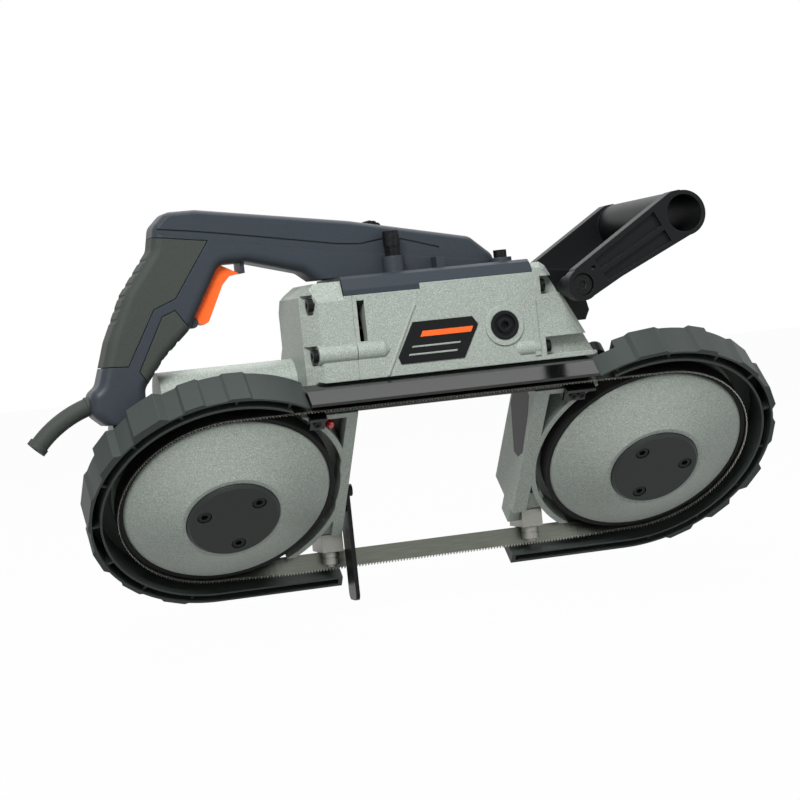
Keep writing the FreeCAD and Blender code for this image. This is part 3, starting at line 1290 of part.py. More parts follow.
def saw_blade():
    """The endless blade: flat round the wheels and along the top, turned upright across the throat."""
    inner = size("blade_radius")
    outer = inner + size("blade_gauge")
    width = size("blade_width")
    half_span = size("wheel_span") / 2
    bands = []
    for side in (-1, 1):
        band = Part.makeCylinder(outer, width, Vector(side * half_span, 0, -width))
        band = band.cut(Part.makeCylinder(inner, width, Vector(side * half_span, 0, -width)))
        keep = Part.makeBox(2 * outer, 4 * outer, 2 * width)
        keep.translate(Vector(side * half_span - (2 * outer if side < 0 else 0), -2 * outer, -1.5 * width))
        bands.append(band.common(keep))
    bands.append(Part.makeBox(2 * half_span, size("blade_gauge"), width, Vector(-half_span, inner, -width)))
    middle = (inner + outer) / 2
    full_turn = math.radians(90 - size("wheel_tilt"))

    def section(at_x, turn):
        corners = []
        for out, up in ((-width / 2, -1), (width / 2, -1), (width / 2, 1), (-width / 2, 1)):
            thick = up * size("blade_gauge") / 2
            corners.append(Vector(at_x, -middle + thick * math.cos(turn) - out * math.sin(turn),
                                  -width / 2 + out * math.cos(turn) + thick * math.sin(turn)))
        return Part.makePolygon(corners + corners[:1])

    steps = 16
    ends = {-1: size("rear_guide_x"), 1: size("front_guide_x")}
    for side, guide_x in ends.items():
        settled = guide_x + size("roller_radius") + 1
        wires = []
        for index in range(steps + 1):
            part = index / steps
            eased = part * part * (3 - 2 * part)
            wires.append(section(side * (half_span + (settled - half_span) * part), full_turn * eased))
        bands.append(Part.makeLoft(wires, True, True))
    straight = [section(-ends[-1] - size("roller_radius") - 1, full_turn),
                section(ends[1] + size("roller_radius") + 1, full_turn)]
    bands.append(Part.makeLoft(straight, True, True))
    blade = bands[0].fuse(bands[1:]).removeSplitter()
    return piece(lean(made(blade)), "saw_blade")


def work_stop():
    """The steel stop that the work is pulled against, slotted so that it can be set up or down."""
    at_x = "(-throat_rear + 4)"
    body = new_body("stop")
    profile = outline(sketch_on(body, "YZ_Plane", at_x), [
        (f"{STOP_Y} - stop_depth / 2", "stop_foot"), (f"{STOP_Y} + stop_depth / 2", "stop_foot"),
        (f"{STOP_Y} + stop_depth / 2", "stop_head"), (f"{STOP_Y} - stop_depth / 2", "stop_head")])
    plate = pad(body, profile, "stop_thickness")
    round_edges(body, plate, "5",
                lambda edge: abs(edge.BoundBox.XMax - edge.BoundBox.XMin - size("stop_thickness")) < 0.01)
    lug = box(("-throat_rear + 0.1", f"{STOP_Y} - 7", f"{STOP_SCREW_Z} - stop_travel - 5"),
              (at_x, f"{STOP_Y} + 7", f"{STOP_SCREW_Z} + stop_travel + 5"))
    slot = box(("-throat_rear - 1", f"{STOP_Y} - hub_screw_radius - 0.3",
                f"{STOP_SCREW_Z} - stop_travel - hub_screw_radius - 0.3"),
               (f"{at_x} + stop_thickness + 1", f"{STOP_Y} + hub_screw_radius + 0.3",
                f"{STOP_SCREW_Z} + stop_travel + hub_screw_radius + 0.3"))
    return piece(cut(fuse(body, lug), slot), "work_stop")


def lamp_lens():
    """The small red lens in the rear leg's corner, on its stem."""
    at_x, up = f"{REAR} + 71.5", "channel_bottom - 11"
    dome = cylinder("2.8", "5", (at_x, up, "-leg_front - 6"))
    tip = cone("2.8", "1.6", "1.6", (at_x, up, "-leg_front - 1"))
    stem = cylinder("2", f"{GUARD_BACK} - leg_front - 6", (at_x, up, f"-{GUARD_BACK}"))
    return piece(lean(fuse(dome, tip, stem)), "lamp_lens")


def tension_slide():
    """The sliding block behind the front plate, with the idler wheel's axle."""
    half = "slide_length / 2"
    block = box((f"{FRONT} - {half}", "-slide_width / 2", "-plate_back - running_gap - slide_thickness"),
                (f"{FRONT} + {half}", "slide_width / 2", "-plate_back - running_gap"))
    axle = cylinder("idler_axle_radius", "plate_back + running_gap + cap_seat - 0.5",
                    (FRONT, "0", "-plate_back - running_gap"))
    return piece(lean(fuse(block, axle)), "tension_slide")


def idler_bearings():
    """The two ball bearings in the idler wheel's hub."""
    rings = [ring(BEARING_RADIUS, "idler_axle_radius + shaft_gap", "bearing_width", ("0", "0", low))
             for low in (f"{HUB_BACK} + 1", "cap_seat - bearing_width - 1")]
    return piece(lean(group(*rings), FRONT), "idler_bearings")


def tension_cover():
    """The cover that guides the slide, with a bore for the tension lever's spindle."""
    low = "-plate_back - 2 * running_gap - slide_thickness - 4"
    block = box((f"{FRONT} - {COVER_REACH}", "-slide_width / 2 - 7", low),
                (f"{FRONT} + slide_length / 2 + 8", "slide_width / 2 + 7", "-plate_back"))
    room = box((f"{FRONT} - {COVER_REACH} + 4", "-slide_width / 2 - running_gap", f"{low} + 4"),
               (f"{FRONT} + slide_length / 2 + 4", "slide_width / 2 + running_gap", "-plate_back + 1"))
    bore = cylinder("5 + shaft_gap", "8", (f"{CAM_X}", CAM_UP, f"{low} - 2"))
    return piece(lean(cut(block, room, bore)), "tension_cover")


CAM_THROW = "(tension_travel / 2)"
CAM_X = f"({FRONT} - slide_length / 2 - cam_radius - {CAM_THROW} - 0.9)"
CAM_UP = "-5"
COVER_REACH = "(slide_length / 2 + 2 * cam_radius + tension_travel + 6)"


def tension_lever():
    """The blade tension lever on the back, its spindle and the cam that moves the slide."""
    low = "(-plate_back - 2 * running_gap - slide_thickness - 4)"
    hub = cylinder("12", "9", (CAM_X, CAM_UP, f"{low} - 9.3"))
    arm = box((f"{CAM_X} - 8", CAM_UP, f"{low} - 8.3"),
              (f"{CAM_X} + 8", f"{CAM_UP} + lever_length", f"{low} - 1.3"))
    tip = cylinder("8", "10", (CAM_X, f"{CAM_UP} + lever_length", f"{low} - 11.3"))
    spindle = cylinder("5", "8", (CAM_X, CAM_UP, f"{low} - 1"))
    cam = cylinder("cam_radius", "slide_thickness - 4", (f"{CAM_X} + {CAM_THROW}", CAM_UP, f"{low} + 4.6"))
    return piece(lean(fuse(hub, arm, tip, spindle, cam)), "tension_lever")


def tension_spring():
    """The spring that keeps the slide pressed against the blade's pull, as an open coil."""
    wire, radius, turns = 1.6, 4.6, 7
    length = 2 * size("cam_radius") + size("tension_travel") + 2
    pitch = (length - wire - size("running_gap")) / turns
    start = -size("slide_length") / 2 - length
    path = Part.makeHelix(pitch, pitch * turns, radius)
    slope = Vector(0, 1, pitch / (2 * math.pi * radius))
    section = Part.Wire(Part.makeCircle(wire / 2, Vector(radius, 0, 0), slope))
    coil = Part.Wire(path).makePipeShell([section], True, True)
    coil.translate(Vector(0, 0, wire / 2))
    coil.transformShape(FreeCAD.Matrix(0, 0, 1, 0, 1, 0, 0, 0, 0, 1, 0, 0, 0, 0, 0, 1))
    coil.translate(Vector(size("wheel_span") / 2 + start, 9.5, -size("plate_back") - 8))
    print(f"tension spring: least gap between turns {pitch - wire:.2f} mm")
    return piece(lean(made(coil)), "tension_spring")


HANDLE_OUTLINE = [
    (f"{REAR} - 35.5", "199"), (f"{REAR} - 25.5", "208.5"), (f"{REAR} - 4.5", "208.5"), ("-54", "191"),
    ("35", "172"), ("52", "157"), ("52", "cover_top"), ("-84", "cover_top"), ("-92", "157.5"),
    (f"{REAR} + 29", "168.5"), (f"{REAR} + 9", "168.5"), (f"{REAR} - 17.5", "124"), (f"{REAR} - 36.5", "107"),
    (f"{REAR} - 52.5", "87"), (f"{REAR} - 53.5", HANDLE_FOOT), (f"{REAR} - 83", HANDLE_FOOT),
    (f"{REAR} - 92", "72"), (f"{REAR} - 92", "87"), (f"{REAR} - 85", "92"), (f"{REAR} - 75.5", "122"),
    (f"{REAR} - 60.5", "154"), (f"{REAR} - 38.5", "183"),
]
REAR_PAD_OUTLINE = [
    (f"{REAR} - 46", "197"), (f"{REAR} - 36", "191.5"), (f"{REAR} + 2", "186"), (f"{REAR} - 25.5", "147"),
    (f"{REAR} - 41.5", "141"), (f"{REAR} - 63.5", "103"), (f"{REAR} - 95", "105"), (f"{REAR} - 95", "150"),
]
FRONT_PAD_OUTLINE = [
    (f"{REAR} - 36.5", "136"), (f"{REAR} - 26.5", "139.5"), (f"{REAR} - 21", "131"), (f"{REAR} - 10", "118"),
    (f"{REAR} - 40", "80"), (f"{REAR} - 51", "90"), (f"{REAR} - 56.5", "99"),
]
REAR_NOTCHES = [
    (f"{REAR} - 44.9", "176.9"), (f"{REAR} - 51.1", "168.7"), (f"{REAR} - 56.9", "161"),
    (f"{REAR} - 62.5", "153"), (f"{REAR} - 66.5", "144.6"), (f"{REAR} - 70.2", "136.6"),
]
FRONT_NOTCHES = [
    (f"{REAR} - 25.4", "115.1"), (f"{REAR} - 31.8", "109.4"), (f"{REAR} - 37.4", "103.6"),
    (f"{REAR} - 42.9", "96.7"),
]
ARM_STEP_LINE = [
    (f"{REAR} - 60", "198.5"), (f"{REAR} + 3", "185.4"), ("-122", "179"), ("-70.5", "170"), ("-30", "164.2"),
    ("60", "151.5"),
]
ARM_ABOVE_STEP = ARM_STEP_LINE + [("60", "230"), (f"{REAR} - 60", "230")]
ARM_GROOVE = [
    (f"{REAR} - 60", "200.9"), (f"{REAR} - 12", "194.3"), (f"{REAR} + 13.5", "190.2"), ("-109", "183.5"),
    ("-65", "175.6"), ("-48", "174.1"), ("-30", "176.4"), ("-16", "174.6"), ("10.5", "166.5"),
    ("10.5", "165.1"), ("-16", "173.2"), ("-30", "175"), ("-48", "172.7"), ("-65", "174.2"), ("-109", "182.1"),
    (f"{REAR} + 13.5", "188.8"), (f"{REAR} - 12", "192.9"), (f"{REAR} - 60", "199.5"),
]
TRIGGER_OUTLINE = [
    (f"{REAR} + 24", "161"), (f"{REAR} + 16.5", "159.7"), (f"{REAR} + 11", "154"), (f"{REAR} - 1.5", "129"),
    (f"{REAR} - 5.5", "127.2"), (f"{REAR} - 10.2", "129.6"), (f"{REAR} - 20", "136"), (f"{REAR} - 5", "174"),
    (f"{REAR} + 8.5", "169.5"),
]
TRIGGER_SLOT = [
    (f"{REAR} + 14.5", "166"), (f"{REAR} + 8.5", "175"), (f"{REAR} - 5", "181"), (f"{REAR} - 12", "181"),
    (f"{REAR} - 27.5", "139"), (f"{REAR} - 23", "133"), (f"{REAR} - 10.5", "126"), (f"{REAR} + 0.5", "120"),
    (f"{REAR} + 20", "150"),
]
ARM_CAVITY = [("-78", "157"), ("-58", "157"), ("-58", "184"), ("-100", "191"), ("-124", "194"),
              ("-124", "174")]
GRIP_CAVITY = [
    (f"{REAR} - 28.5", "138"), (f"{REAR} - 14", "179"), (f"{REAR} - 26", "182"), (f"{REAR} - 52", "148"),
    (f"{REAR} - 66", "118"), (f"{REAR} - 76", "86"), (f"{REAR} - 62", "86"),
]


def upright_prism(name, points, half_width):
    """A block with an outline seen from the side, reaching as far to each side of the middle."""
    body = new_body(name)
    pad(body, outline(sketch_on(body, "XZ_Plane"), points), f"2 * ({half_width})", True)
    return body


def is_across(edge):
    """Whether an edge is straight and runs along Y."""
    direction = edge.tangentAt(edge.FirstParameter)
    return edge.Curve.TypeId == "Part::GeomLine" and abs(direction.y) > 0.999


def handle_blank():
    """The whole handle's outside: the side outline, corners eased, with its long edges rounded."""
    body = new_body("handle_blank")
    sketch = outline(sketch_on(body, "XZ_Plane"), HANDLE_OUTLINE)
    solid = pad(body, sketch, "2 * handle_half_width", True)
    foot = size("cover_top") + 0.5
    grip_foot = 66.0

    def is_eased(edge):
        return is_across(edge) and edge.BoundBox.ZMin > grip_foot and not (
            edge.BoundBox.XMin > -90 and edge.BoundBox.ZMin < foot)

    eased = round_edges(body, solid, "handle_rounding + 1.5", is_eased)

    def is_long(edge):
        bounds = edge.BoundBox
        return bounds.YMax - bounds.YMin < 0.01 and bounds.ZMax > grip_foot and not (
            bounds.XMax > 51.99 and bounds.XMin > 51.9) and not (bounds.ZMax < foot and bounds.XMin > -90)

    round_edges(body, eased, "handle_rounding", is_long)
    return body


def inset_block(body, inset_by, width):
    """A block on a body's first outline, moved in all round, as far to each side of the middle."""
    inset = doc.addObject("Part::Offset2D", "inset")
    inset.Source = body.Group[0]
    inset.Join = 2
    bind(inset, Value=f"-({inset_by})")
    block = doc.addObject("Part::Extrusion", "inset_block")
    block.Base = inset
    block.DirMode = "Normal"
    block.Solid = True
    block.Symmetric = True
    bind(block, LengthFwd=width)
    return block


def grip_pad(label, blank, region, core, notches):
    """A rubber pad in its recess: a seam all round it, and notches across its outer edge."""
    block = cut(inset_block(region, "pad_seam", "80"), core)
    grooves = [cylinder("notch_radius", "80", (across, "-40", up), "Y") for across, up in notches]
    piece(cut(common(blank, block), *grooves), label)


def beside(points, depth):
    """What lies in a side outline, outside a depth under both of the handle's flanks."""
    name = "beside"
    return cut(upright_prism(name, points, "40"), upright_prism(name, points, f"handle_half_width - {depth}"))


def rear_handle():
    """The closed rear handle: two halves, two rubber pads and the switch inside."""
    blank = handle_blank()
    core = inset_block(blank, "pad_depth", "2 * (handle_half_width - pad_depth)")
    rear_block = upright_prism("rear_region", REAR_PAD_OUTLINE, "40")
    front_block = upright_prism("front_region", FRONT_PAD_OUTLINE, "40")
    grip_pad("rear_grip_pad", blank, rear_block, core, REAR_NOTCHES)
    grip_pad("front_grip_pad", blank, front_block, core, FRONT_NOTCHES)
    rear_region = cut(rear_block, core)
    front_region = cut(front_block, core)
    nub = cylinder("4", "18", (f"{REAR} - 13.5", "-9", "129.5"), "Y")
    hook = box((f"{REAR} + 24.5", "-10", "161"), (f"{REAR} + 27.5", "10", "171"))
    dial_x = DIAL_X
    hollow = [
        rear_region, front_region, beside(ARM_ABOVE_STEP, "arm_step"), beside(ARM_GROOVE, "arm_groove"),
        upright_prism("trigger_slot", TRIGGER_SLOT, "trigger_half_width + running_gap"),
        upright_prism("arm_cavity", ARM_CAVITY, "handle_half_width - handle_wall - 1"),
        upright_prism("grip_cavity", GRIP_CAVITY, "handle_half_width - pad_depth - handle_wall"),
        cylinder("dial_radius + 0.6", "dial_width + 2 * running_gap",
                 (dial_x, "-dial_width / 2 - running_gap", DIAL_Z), "Y"),
        cylinder("2.5 + shaft_gap", "26", (dial_x, "-13", DIAL_Z), "Y"),
        made(Part.makeCylinder(size("boot_radius"), 30, *boot_line())),
        lean(cylinder("guard_outer + 7.5", "60", (REAR, "0", f"-{GUARD_BACK} - 0.5"))),
        lean(cylinder(f"{PLATE_RADIUS} + 0.5", "60", (REAR, "0", "-plate_back - 0.5"))),
    ]
    whole = cut(fuse(blank, nub, hook), *hollow)
    for label, low, high in (("handle_near_half", "-40", "0"), ("handle_far_half", "0", "40")):
        half = box((f"{REAR} - 120", low, "40"), ("80", high, "230"))
        piece(common(whole, half), label)
    switch = box((f"{REAR} - 43.5", "-(handle_half_width - pad_depth - handle_wall)", "140"),
                 (f"{REAR} - 33", "handle_half_width - pad_depth - handle_wall", "156"))
    piece(switch, "trigger_switch")


DIAL_X = "(-36)"
DIAL_Z = "179.3"


def trigger():
    """The trigger: a finger-shaped lever that slides into the grip."""
    body = upright_prism("trigger", TRIGGER_OUTLINE, "trigger_half_width")
    return piece(body, "trigger")


def speed_dial():
    """The speed dial: a ribbed thumb wheel on a cross axle."""
    at = (DIAL_X, "-dial_width / 2", DIAL_Z)
    wheel_disc = cylinder("dial_radius", "dial_width", at, "Y")
    axle = cylinder("2.5", "25.6", (DIAL_X, "-12.8", DIAL_Z), "Y")
    notches = []
    for index in range(18):
        notch = cylinder("0.8", "dial_width + 2", ("dial_radius + 0.3", "-dial_width / 2 - 1", "0"), "Y")
        turned = group(notch)
        turned.Placement.Rotation = FreeCAD.Rotation(Vector(0, 1, 0), 20 * index)
        turned.setExpression("Placement.Base.x", formula(DIAL_X))
        turned.setExpression("Placement.Base.z", formula(DIAL_Z))
        notches.append(turned)
    return piece(fuse(cut(wheel_disc, *notches), axle), "speed_dial")


def boot_line():
    """Where the boot's straight end starts inside the handle, and the way it points."""
    heading = math.radians(BOOT_HEADING)
    start = Vector(-size("wheel_span") / 2 - 84.5, 0, BOOT_HEIGHT)
    return start, Vector(-math.cos(heading), 0, -math.sin(heading))


def boot_tube(radius, lead, bend, tail):
    """A round bar along the boot: a straight lead, a bend downwards and a straight tail."""
    start, out = boot_line()
    corner = start + out * BOOT_LEAD
    centre = corner + Vector(-out.z, 0, out.x) * BOOT_BEND_RADIUS
    disc = Part.Face(Part.Wire(Part.makeCircle(radius, corner, out)))
    arc = disc.revolve(centre, Vector(0, 1, 0), -bend)
    turned = FreeCAD.Rotation(Vector(0, 1, 0), -bend)
    end = centre + turned.multVec(corner - centre)
    far_out = turned.multVec(out)
    straight = Part.makeCylinder(radius, BOOT_LEAD + lead, start - out * lead, out)
    return straight.fuse([arc, Part.makeCylinder(radius, tail, end, far_out)]), end, far_out


BOOT_HEADING = 18.0
BOOT_HEIGHT = 81.0
BOOT_LEAD = 10.0
BOOT_BEND = 28.0
BOOT_BEND_RADIUS = 82.0


def cord_boot():
    """The bent rubber boot where the cord would leave the handle, hollow, with a collar at its end."""
    radius = size("boot_radius")
    boot, end, out = boot_tube(radius - 0.6, 0, BOOT_BEND, 5)
    collar = Part.makeCylinder(radius + 0.4, 4.5, end + out * 1.5, out)
    start, lead_out = boot_line()
    root = Part.makeCylinder(radius, 9, start, lead_out)
    bore = boot_tube(size("boot_bore"), 1, BOOT_BEND, 9)[0]
    return piece(made(boot.fuse([collar, root]).cut(bore)), "cord_boot")


def bracket_outline():
    """The handle bracket seen from the side: it lies on the nose's slanted face."""
    slope = "(nose_toe + 1 - nose_brow) / (end_top - 6 - housing_bottom)"

    def face_at(height):
        return f"(nose_toe + 1 - (({height}) - housing_bottom - 3) * {slope})"

    top, foot = "bail_pivot_z + 15", "bail_pivot_z - 25"
    return [(face_at(top), top), ("bail_pivot_x + 11", "bail_pivot_z + 11"),
            ("bail_pivot_x + 17.5", "bail_pivot_z - 18"),
            ("bail_pivot_x + 14", foot), (face_at(foot), foot)]


def front_handle_bracket():
    """The bracket on the nose, with a stub at each side for the front handle."""
    block = upright_prism("bracket", bracket_outline(), "32")
    reach = "bail_half_width - bail_arm_width - running_gap"
    barrels = [cylinder("bail_boss_radius - 2.5", f"{reach} - housing_front - 1",
                        ("bail_pivot_x", start, "bail_pivot_z"), "Y")
               for start in (f"-({reach})", "housing_front + 1")]
    stub = cylinder("5", "2 * (bail_half_width - 4.3)",
                    ("bail_pivot_x", "-(bail_half_width - 4.3)", "bail_pivot_z"), "Y")
    relief = upright_prism("relief",
        [("bail_pivot_x + 3", "bail_pivot_z - 4"), ("bail_pivot_x + 30", "bail_pivot_z - 4"),
         ("bail_pivot_x + 30", "bail_pivot_z - 14"), ("bail_pivot_x + 8", "bail_pivot_z - 14")], "14")
    taps = [cylinder("hub_screw_radius", "12", ("bail_pivot_x", start, "bail_pivot_z"), "Y")
            for start in ("-(bail_half_width - 4.3)", "bail_half_width - 16.3")]
    return piece(cut(fuse(block, stub, *barrels), relief, *taps), "front_handle_bracket")


def front_handle():
    """The front handle: two cranked arms with an open tube between their ends."""
    body = new_body("arm")
    sketch = sketch_on(body, "XZ_Plane", "bail_half_width - bail_arm_width")
    px, pz, gx, gz = "bail_pivot_x", "bail_pivot_z", "bail_grip_x", "bail_grip_z"
    outline(sketch, [
        (f"{px} - 10", f"{pz} - 1"), (f"{px} - 5", f"{pz} + 11.5"), (f"{gx} - 9", f"{gz} + 16"),
        (f"{gx} - 2", f"{gz} + 17"), (f"{gx} + 5", f"{gz} + 13"), (f"{gx} + 14", f"{gz} + 2"),
        (f"{gx} + 14", f"{gz} - 6"), (f"{gx} + 8", f"{gz} - 14"),
        (f"{px} + 30", f"{pz} + 3"), (f"{px} + 6", f"{pz} - 9.5"), (f"{px} - 4", f"{pz} - 10")])
    arm = pad(body, sketch, "bail_arm_width")
    round_edges(body, arm, "3.5", is_across)
    mirrored = doc.addObject("Part::Mirroring", "far_arm")
    mirrored.Source = body
    mirrored.Normal = Vector(0, 1, 0)
    eyes = [cylinder("bail_eye_radius", "bail_arm_width", (px, start, pz), "Y")
            for start in ("-bail_half_width", "bail_half_width - bail_arm_width")]
    tube = cylinder("bail_tube_radius", "2 * bail_half_width", (gx, "-bail_half_width", gz), "Y")
    bore = cylinder("bail_bore_radius", "2 * bail_half_width + 4", (gx, "-bail_half_width - 2", gz), "Y")
    pivot = cylinder("5 + shaft_gap", "2 * bail_half_width + 4", (px, "-bail_half_width - 2", pz), "Y")
    seats = [cylinder("8", "4.6", (px, start, pz), "Y") for start in ("-bail_half_width - 0.1",
                                                                      "bail_half_width - 4.5")]
    hole = cylinder("1.8", "2 * bail_half_width + 4", (f"{px} + 9", "-bail_half_width - 2", f"{pz} + 11"),
                    "Y")
    hollows = []
    for corners in ARM_POCKETS:
        points = [arm_point(along, across) for along, across in corners]
        hollows.append(cut(upright_prism("pocket", points, "bail_half_width + 2"),
                           upright_prism("web", points, "bail_half_width - arm_pocket")))
    return piece(cut(fuse(body, mirrored, tube, *eyes), bore, pivot, hole, *seats, *hollows), "front_handle")


ARM_POCKETS = [[(17, 1.8), (74, 1.8), (74, 13.5), (17, 9.8)], [(17, -1.8), (17, -8), (74, -11.5), (74, -1.8)]]


def arm_point(along, across):
    """A point of the front handle's arm: so far from its pivot towards the tube, and so far square to that."""
    run = size("bail_grip_x") - size("bail_pivot_x")
    rise = size("bail_grip_z") - size("bail_pivot_z")
    reach = math.hypot(run, rise)
    return (f"bail_pivot_x + {(along * run - across * rise) / reach:.3f}",
            f"bail_pivot_z + {(along * rise + across * run) / reach:.3f}")


def write_pieces():
    """Check every object, then write each piece's solid to its own file."""
    doc.recompute()
    failed = [item.Label for item in doc.Objects if {"Invalid", "Error"} & set(item.State)]
    if failed:
        raise RuntimeError(f"objects that failed: {failed}")
    for item in pieces:
        if item.Shape.isNull() or not item.Shape.isValid() or not item.Shape.Solids:
            raise RuntimeError(f"piece without a sound solid: {item.Label}")
    os.makedirs("parts", exist_ok=True)
    for item in pieces:
        item.Shape.exportStep(f"parts/{item.Label}.step")
        print(f"{item.Label}: {len(item.Shape.Solids)} solid(s), {item.Shape.Volume / 1000:.2f} cm3")


wheel("drive_wheel", "drive_shaft_radius + shaft_gap", "drive_shaft_radius + 11", REAR, SCREW_TURNS["drive"])
tyre("drive_tyre", REAR)
hub_cap("drive_hub_cap", REAR, SCREW_TURNS["drive"])
hub_screws("drive_hub_screws", REAR, SCREW_TURNS["drive"])
drive_shaft()
worm_wheel()
worm_shaft()
reduction_gear()
armature_shaft()
armature_core()
commutator()
cooling_fan()
field_stator()
shaft_bearings()
wheel("idler_wheel", BEARING_RADIUS, f"{BEARING_RADIUS} + 5", FRONT, SCREW_TURNS["idler"])
tyre("idler_tyre", FRONT)
hub_cap("idler_hub_cap", FRONT, SCREW_TURNS["idler"])
hub_screws("idler_hub_screws", FRONT, SCREW_TURNS["idler"])
gear_case()
motor_housing()
nose_cover()
top_cover()
cover_screws()
brush_caps()
carbon_brushes()
socket_screws()
rating_plate()
wheel_guard("rear_wheel_guard", -1)
wheel_guard("front_wheel_guard", 1)
blade_channel()
tab_screws()
leg_shield()
main_frame()
guide_block("rear_guide_block", "(-rear_guide_x)")
guide_block("front_guide_block", "front_guide_x")
guide_pins()
side_roller("rear_near_roller", "(-rear_guide_x)", "near_y")
side_roller("rear_far_roller", "(-rear_guide_x)", "far_y")
back_roller("rear_back_roller", "(-rear_guide_x)")
side_roller("front_near_roller", "front_guide_x", "near_y")
side_roller("front_far_roller", "front_guide_x", "far_y")
back_roller("front_back_roller", "front_guide_x")
saw_blade()
work_stop()
lamp_lens()
tension_slide()
idler_bearings()
tension_cover()
tension_lever()
tension_spring()
rear_handle()
trigger()
speed_dial()
cord_boot()
front_handle_bracket()
front_handle()
write_pieces()
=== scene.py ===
"""Looks of a portable band saw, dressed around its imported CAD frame.

Every length is in metres, in the CAD frame: the origin is the middle of the throat, +X runs from the
driven wheel to the idler wheel, +Y away from the tooth side and +Z up. The blade wheels lie in a plane
that leans; points of that plane are given as (across, up, out) and turned by WheelPlane.
"""
import json
import logging
import math
from dataclasses import dataclass
from enum import Enum
from typing import Any

import bpy
from mathutils import Matrix, Vector


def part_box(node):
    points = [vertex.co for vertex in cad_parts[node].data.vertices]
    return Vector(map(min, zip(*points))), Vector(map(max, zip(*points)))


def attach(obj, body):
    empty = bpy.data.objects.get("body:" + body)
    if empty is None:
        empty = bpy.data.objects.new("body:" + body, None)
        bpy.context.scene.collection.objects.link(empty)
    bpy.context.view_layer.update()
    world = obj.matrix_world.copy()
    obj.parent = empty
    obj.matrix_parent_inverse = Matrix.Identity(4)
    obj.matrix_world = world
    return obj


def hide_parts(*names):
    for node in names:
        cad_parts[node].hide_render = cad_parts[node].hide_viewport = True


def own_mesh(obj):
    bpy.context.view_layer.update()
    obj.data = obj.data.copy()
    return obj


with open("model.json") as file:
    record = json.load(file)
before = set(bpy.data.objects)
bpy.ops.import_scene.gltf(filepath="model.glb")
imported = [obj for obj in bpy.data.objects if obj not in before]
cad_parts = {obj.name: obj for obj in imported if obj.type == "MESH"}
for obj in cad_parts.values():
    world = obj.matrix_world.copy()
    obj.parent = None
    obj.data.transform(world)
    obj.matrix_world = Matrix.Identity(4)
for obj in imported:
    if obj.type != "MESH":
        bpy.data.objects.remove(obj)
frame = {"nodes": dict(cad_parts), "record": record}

logging.basicConfig(level=logging.INFO, format="%(message)s")
log = logging.getLogger("band_saw")

MM = 0.001
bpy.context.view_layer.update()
WHITE = "#FFFFFF"
OUT_OF_PLANE = Vector((0.0, 0.0, 1.0))


def linear(hex_colour: str) -> tuple[float, float, float, float]:
    """Turn an sRGB hex colour into the linear colour that a shader takes.

    Args:
        hex_colour: Six hex digits with a leading hash.

    Returns:
        Linear red, green and blue, and an alpha of one.
    """
    channels = [int(hex_colour[start:start + 2], 16) / 255 for start in (1, 3, 5)]
    values = [c / 12.92 if c <= 0.04045 else ((c + 0.055) / 1.055) ** 2.4 for c in channels]
    return values[0], values[1], values[2], 1.0


def add_node(tree: bpy.types.NodeTree, kind: str, settings: dict[str, Any] | None = None,
             **inputs: Any) -> bpy.types.Node:
    """Add one shader node with its settings, values and links.

    Args:
        tree: The material's node tree.
        kind: The node's type name.
        settings: Properties of the node itself.
        **inputs: Sockets by name, with underscores for spaces, or by number as slot_0, slot_1 and so on;
            a socket given there is linked, and anything else is a value.

    Returns:
        The new node.
    """
    node = tree.nodes.new(kind)
    for name, value in (settings or {}).items():
        setattr(node, name, value)
    for name, value in inputs.items():
        numbered = name.startswith("slot_")
        socket = node.inputs[int(name.removeprefix("slot_")) if numbered else name.replace("_", " ")]
        if isinstance(value, bpy.types.NodeSocket):
            tree.links.new(value, socket)
        else:
            socket.default_value = value
    return node


class Slot(Enum):
    """The record's material slots."""

    SILVER_PAINT = "silver_paint"
    GUARD_PLASTIC = "guard_plastic"
    BLACK_GLOSS = "black_gloss"
    HANDLE_PLASTIC = "handle_plastic"
    GRIP_RUBBER = "grip_rubber"
    ORANGE_PLASTIC = "orange_plastic"
    CAP_PLASTIC = "cap_plastic"
    BLACK_PLASTIC = "black_plastic"
    BLADE_STEEL = "blade_steel"
    BRIGHT_STEEL = "bright_steel"
    BLACK_STEEL = "black_steel"
    COPPER = "copper"
    LAMINATION = "lamination"
    TYRE_RUBBER = "tyre_rubber"
    RED_LENS = "red_lens"
    BRONZE = "bronze"
    CARBON = "carbon"


